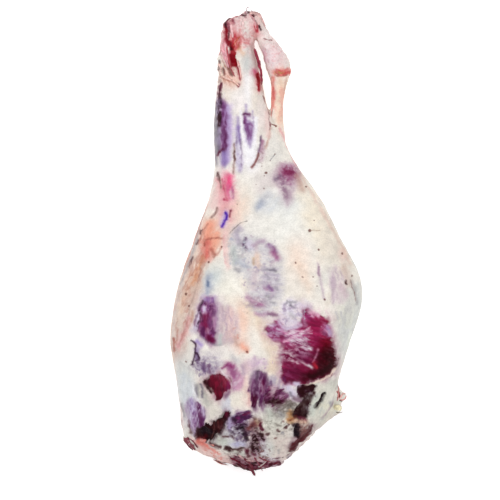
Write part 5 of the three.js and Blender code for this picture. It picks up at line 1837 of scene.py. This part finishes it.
def flesh_material():
    """Satin fat and muscle, with torn fibres along the edges between them."""
    n = Nodes("flesh")
    place = n.add("ShaderNodeTexCoord").outputs["Object"]
    fine = n.grain(FINE_FIBRE)
    coarse = n.grain(COARSE_FIBRE)
    speck = n.noise(place, scale=SPECKS, detail=3)
    mottle = n.noise(place, scale=CLOUDS, detail=4)

    # Torn edge of the bared muscle, in millimetres
    fibre = n.math("MULTIPLY_ADD", coarse, COARSE_TEAR, TEAR_LEVEL)
    fibre = n.math("MULTIPLY_ADD", fine, FINE_TEAR, fibre)
    tearing = n.math("MULTIPLY", n.attribute("ragged"), fibre)
    grit = n.math("MULTIPLY_ADD", speck, GRIT, GRIT_LEVEL)
    edge = n.math("ADD", n.attribute("inside"), n.math("ADD", tearing, grit))
    soft = n.attribute("soft")
    bared = n.ramp(edge, n.math("MULTIPLY", soft, -1.0), soft)

    # Muscle, with pale fibres where it is streaky
    ridge = n.math("ABSOLUTE", n.math("SUBTRACT", coarse, 0.5))
    ridge = n.math("MULTIPLY_ADD", ridge, RIDGE_SLOPE, n.attribute("streak"))
    ridge = n.math("MULTIPLY_ADD", fine, RIDGE_FIBRES, ridge)
    pale = n.ramp(ridge, low=0.75, high=1.5, end=0.8)
    shade = n.ramp(fine, low=0.25, high=0.75, start=0.85, end=1.15)
    muscle = n.mix(pale, n.shaded(n.attribute("muscle_tint", "Color"), shade), rgba(PALE_FIBRE))

    # Fat, and the marks on both
    cloudy = n.ramp(mottle, low=0.3, high=0.7, start=0.93, end=1.05)
    grainy = n.ramp(speck, low=0.3, high=0.7, start=0.92, end=1.06)
    fat = n.shaded(n.attribute("fat_tint", "Color"), n.math("MULTIPLY", cloudy, grainy))
    blur = n.attribute("mark_soft")
    spot = n.math("ADD", n.attribute("marks"), grit)
    marked = n.ramp(spot, n.math("MULTIPLY", blur, -1.0), blur, end=0.95)
    colour = n.mix(marked, n.mix(bared, fat, muscle), n.attribute("mark_tint", "Color"))

    rough = n.math("MULTIPLY_ADD", mottle, CLOUD_BUMP, n.math("MULTIPLY", speck, SPECK_BUMP))
    height = n.mix(bared, n.grey(rough), n.grey(fine))
    n.set(Base_Color=colour, Roughness=n.ramp(bared, low=0.0, high=1.0, start=0.5, end=0.38),
          Specular_IOR_Level=0.03, Normal=n.bump(height, strength=0.35, distance=0.0012))
    return n.material


def strand_material():
    """Moist strands with fibres along them."""
    n = Nodes("strands")
    fine = n.grain(STRAND_FIBRE)
    shade = n.ramp(fine, low=0.25, high=0.75, start=0.75, end=1.2)
    n.set(Base_Color=n.shaded(n.attribute("tint", "Color"), shade),
          Roughness=n.ramp(fine, low=0.3, high=0.7, start=0.5, end=0.36),
          Specular_IOR_Level=0.06, Normal=n.bump(fine, strength=0.4, distance=0.001))
    return n.material


def floor():
    """A pale floor, bright enough to look white."""
    bpy.ops.mesh.primitive_plane_add(size=FLOOR_SIZE)
    plane = bpy.context.object
    plane.name = "floor"
    n = Nodes("floor")
    cloudy = n.noise(n.add("ShaderNodeTexCoord").outputs["Object"], scale=FLOOR_CLOUDS, detail=3)
    dark, light = [rgba(tone) for tone in FLOOR_TONES]
    n.set(Base_Color=n.mix(n.ramp(cloudy, low=0.3, high=0.7), dark, light), Roughness=0.9,
          Emission_Color=(1, 1, 1, 1), Emission_Strength=FLOOR_GLOW)
    plane.data.materials.append(n.material)


def area_light(name, spot, power):
    """A round soft light that looks at the leg."""
    light = bpy.data.lights.new(name, "AREA")
    light.shape = "DISK"
    light.size = LIGHT_SIZE
    light.energy = power
    lamp = bpy.data.objects.new(name, light)
    lamp.location = spot
    lamp.rotation_euler = (Vector(LIGHT_AIM) - Vector(spot)).to_track_quat("-Z", "Y").to_euler()
    bpy.context.scene.collection.objects.link(lamp)


def studio():
    """Soft light all round, brightest from above."""
    scene = bpy.context.scene
    scene.world = bpy.data.worlds.new("studio")
    scene.world.use_nodes = True
    background = scene.world.node_tree.nodes["Background"]
    background.inputs["Color"].default_value = (1, 1, 1, 1)
    background.inputs["Strength"].default_value = WORLD_STRENGTH
    for light in LIGHTS:
        area_light(*light)
    scene.view_settings.view_transform = "Standard"
    scene.view_settings.look = "None"


def camera():
    """A long lens straight above, with the hock at the top of the picture."""
    data = bpy.data.cameras.new("camera")
    distance = CAMERA_HEIGHT - OUTLINE_HEIGHT
    data.sensor_width = SENSOR
    data.lens = SENSOR * distance / (2 * PHOTO_MIDDLE * PIXEL)
    data.clip_end = CLIP_END
    eye = bpy.data.objects.new("camera", data)
    eye.location = (*CAMERA_SPOT, CAMERA_HEIGHT)
    bpy.context.scene.collection.objects.link(eye)
    bpy.context.scene.camera = eye


camera()
studio()
floor()
leg = flesh()
strands(leg)
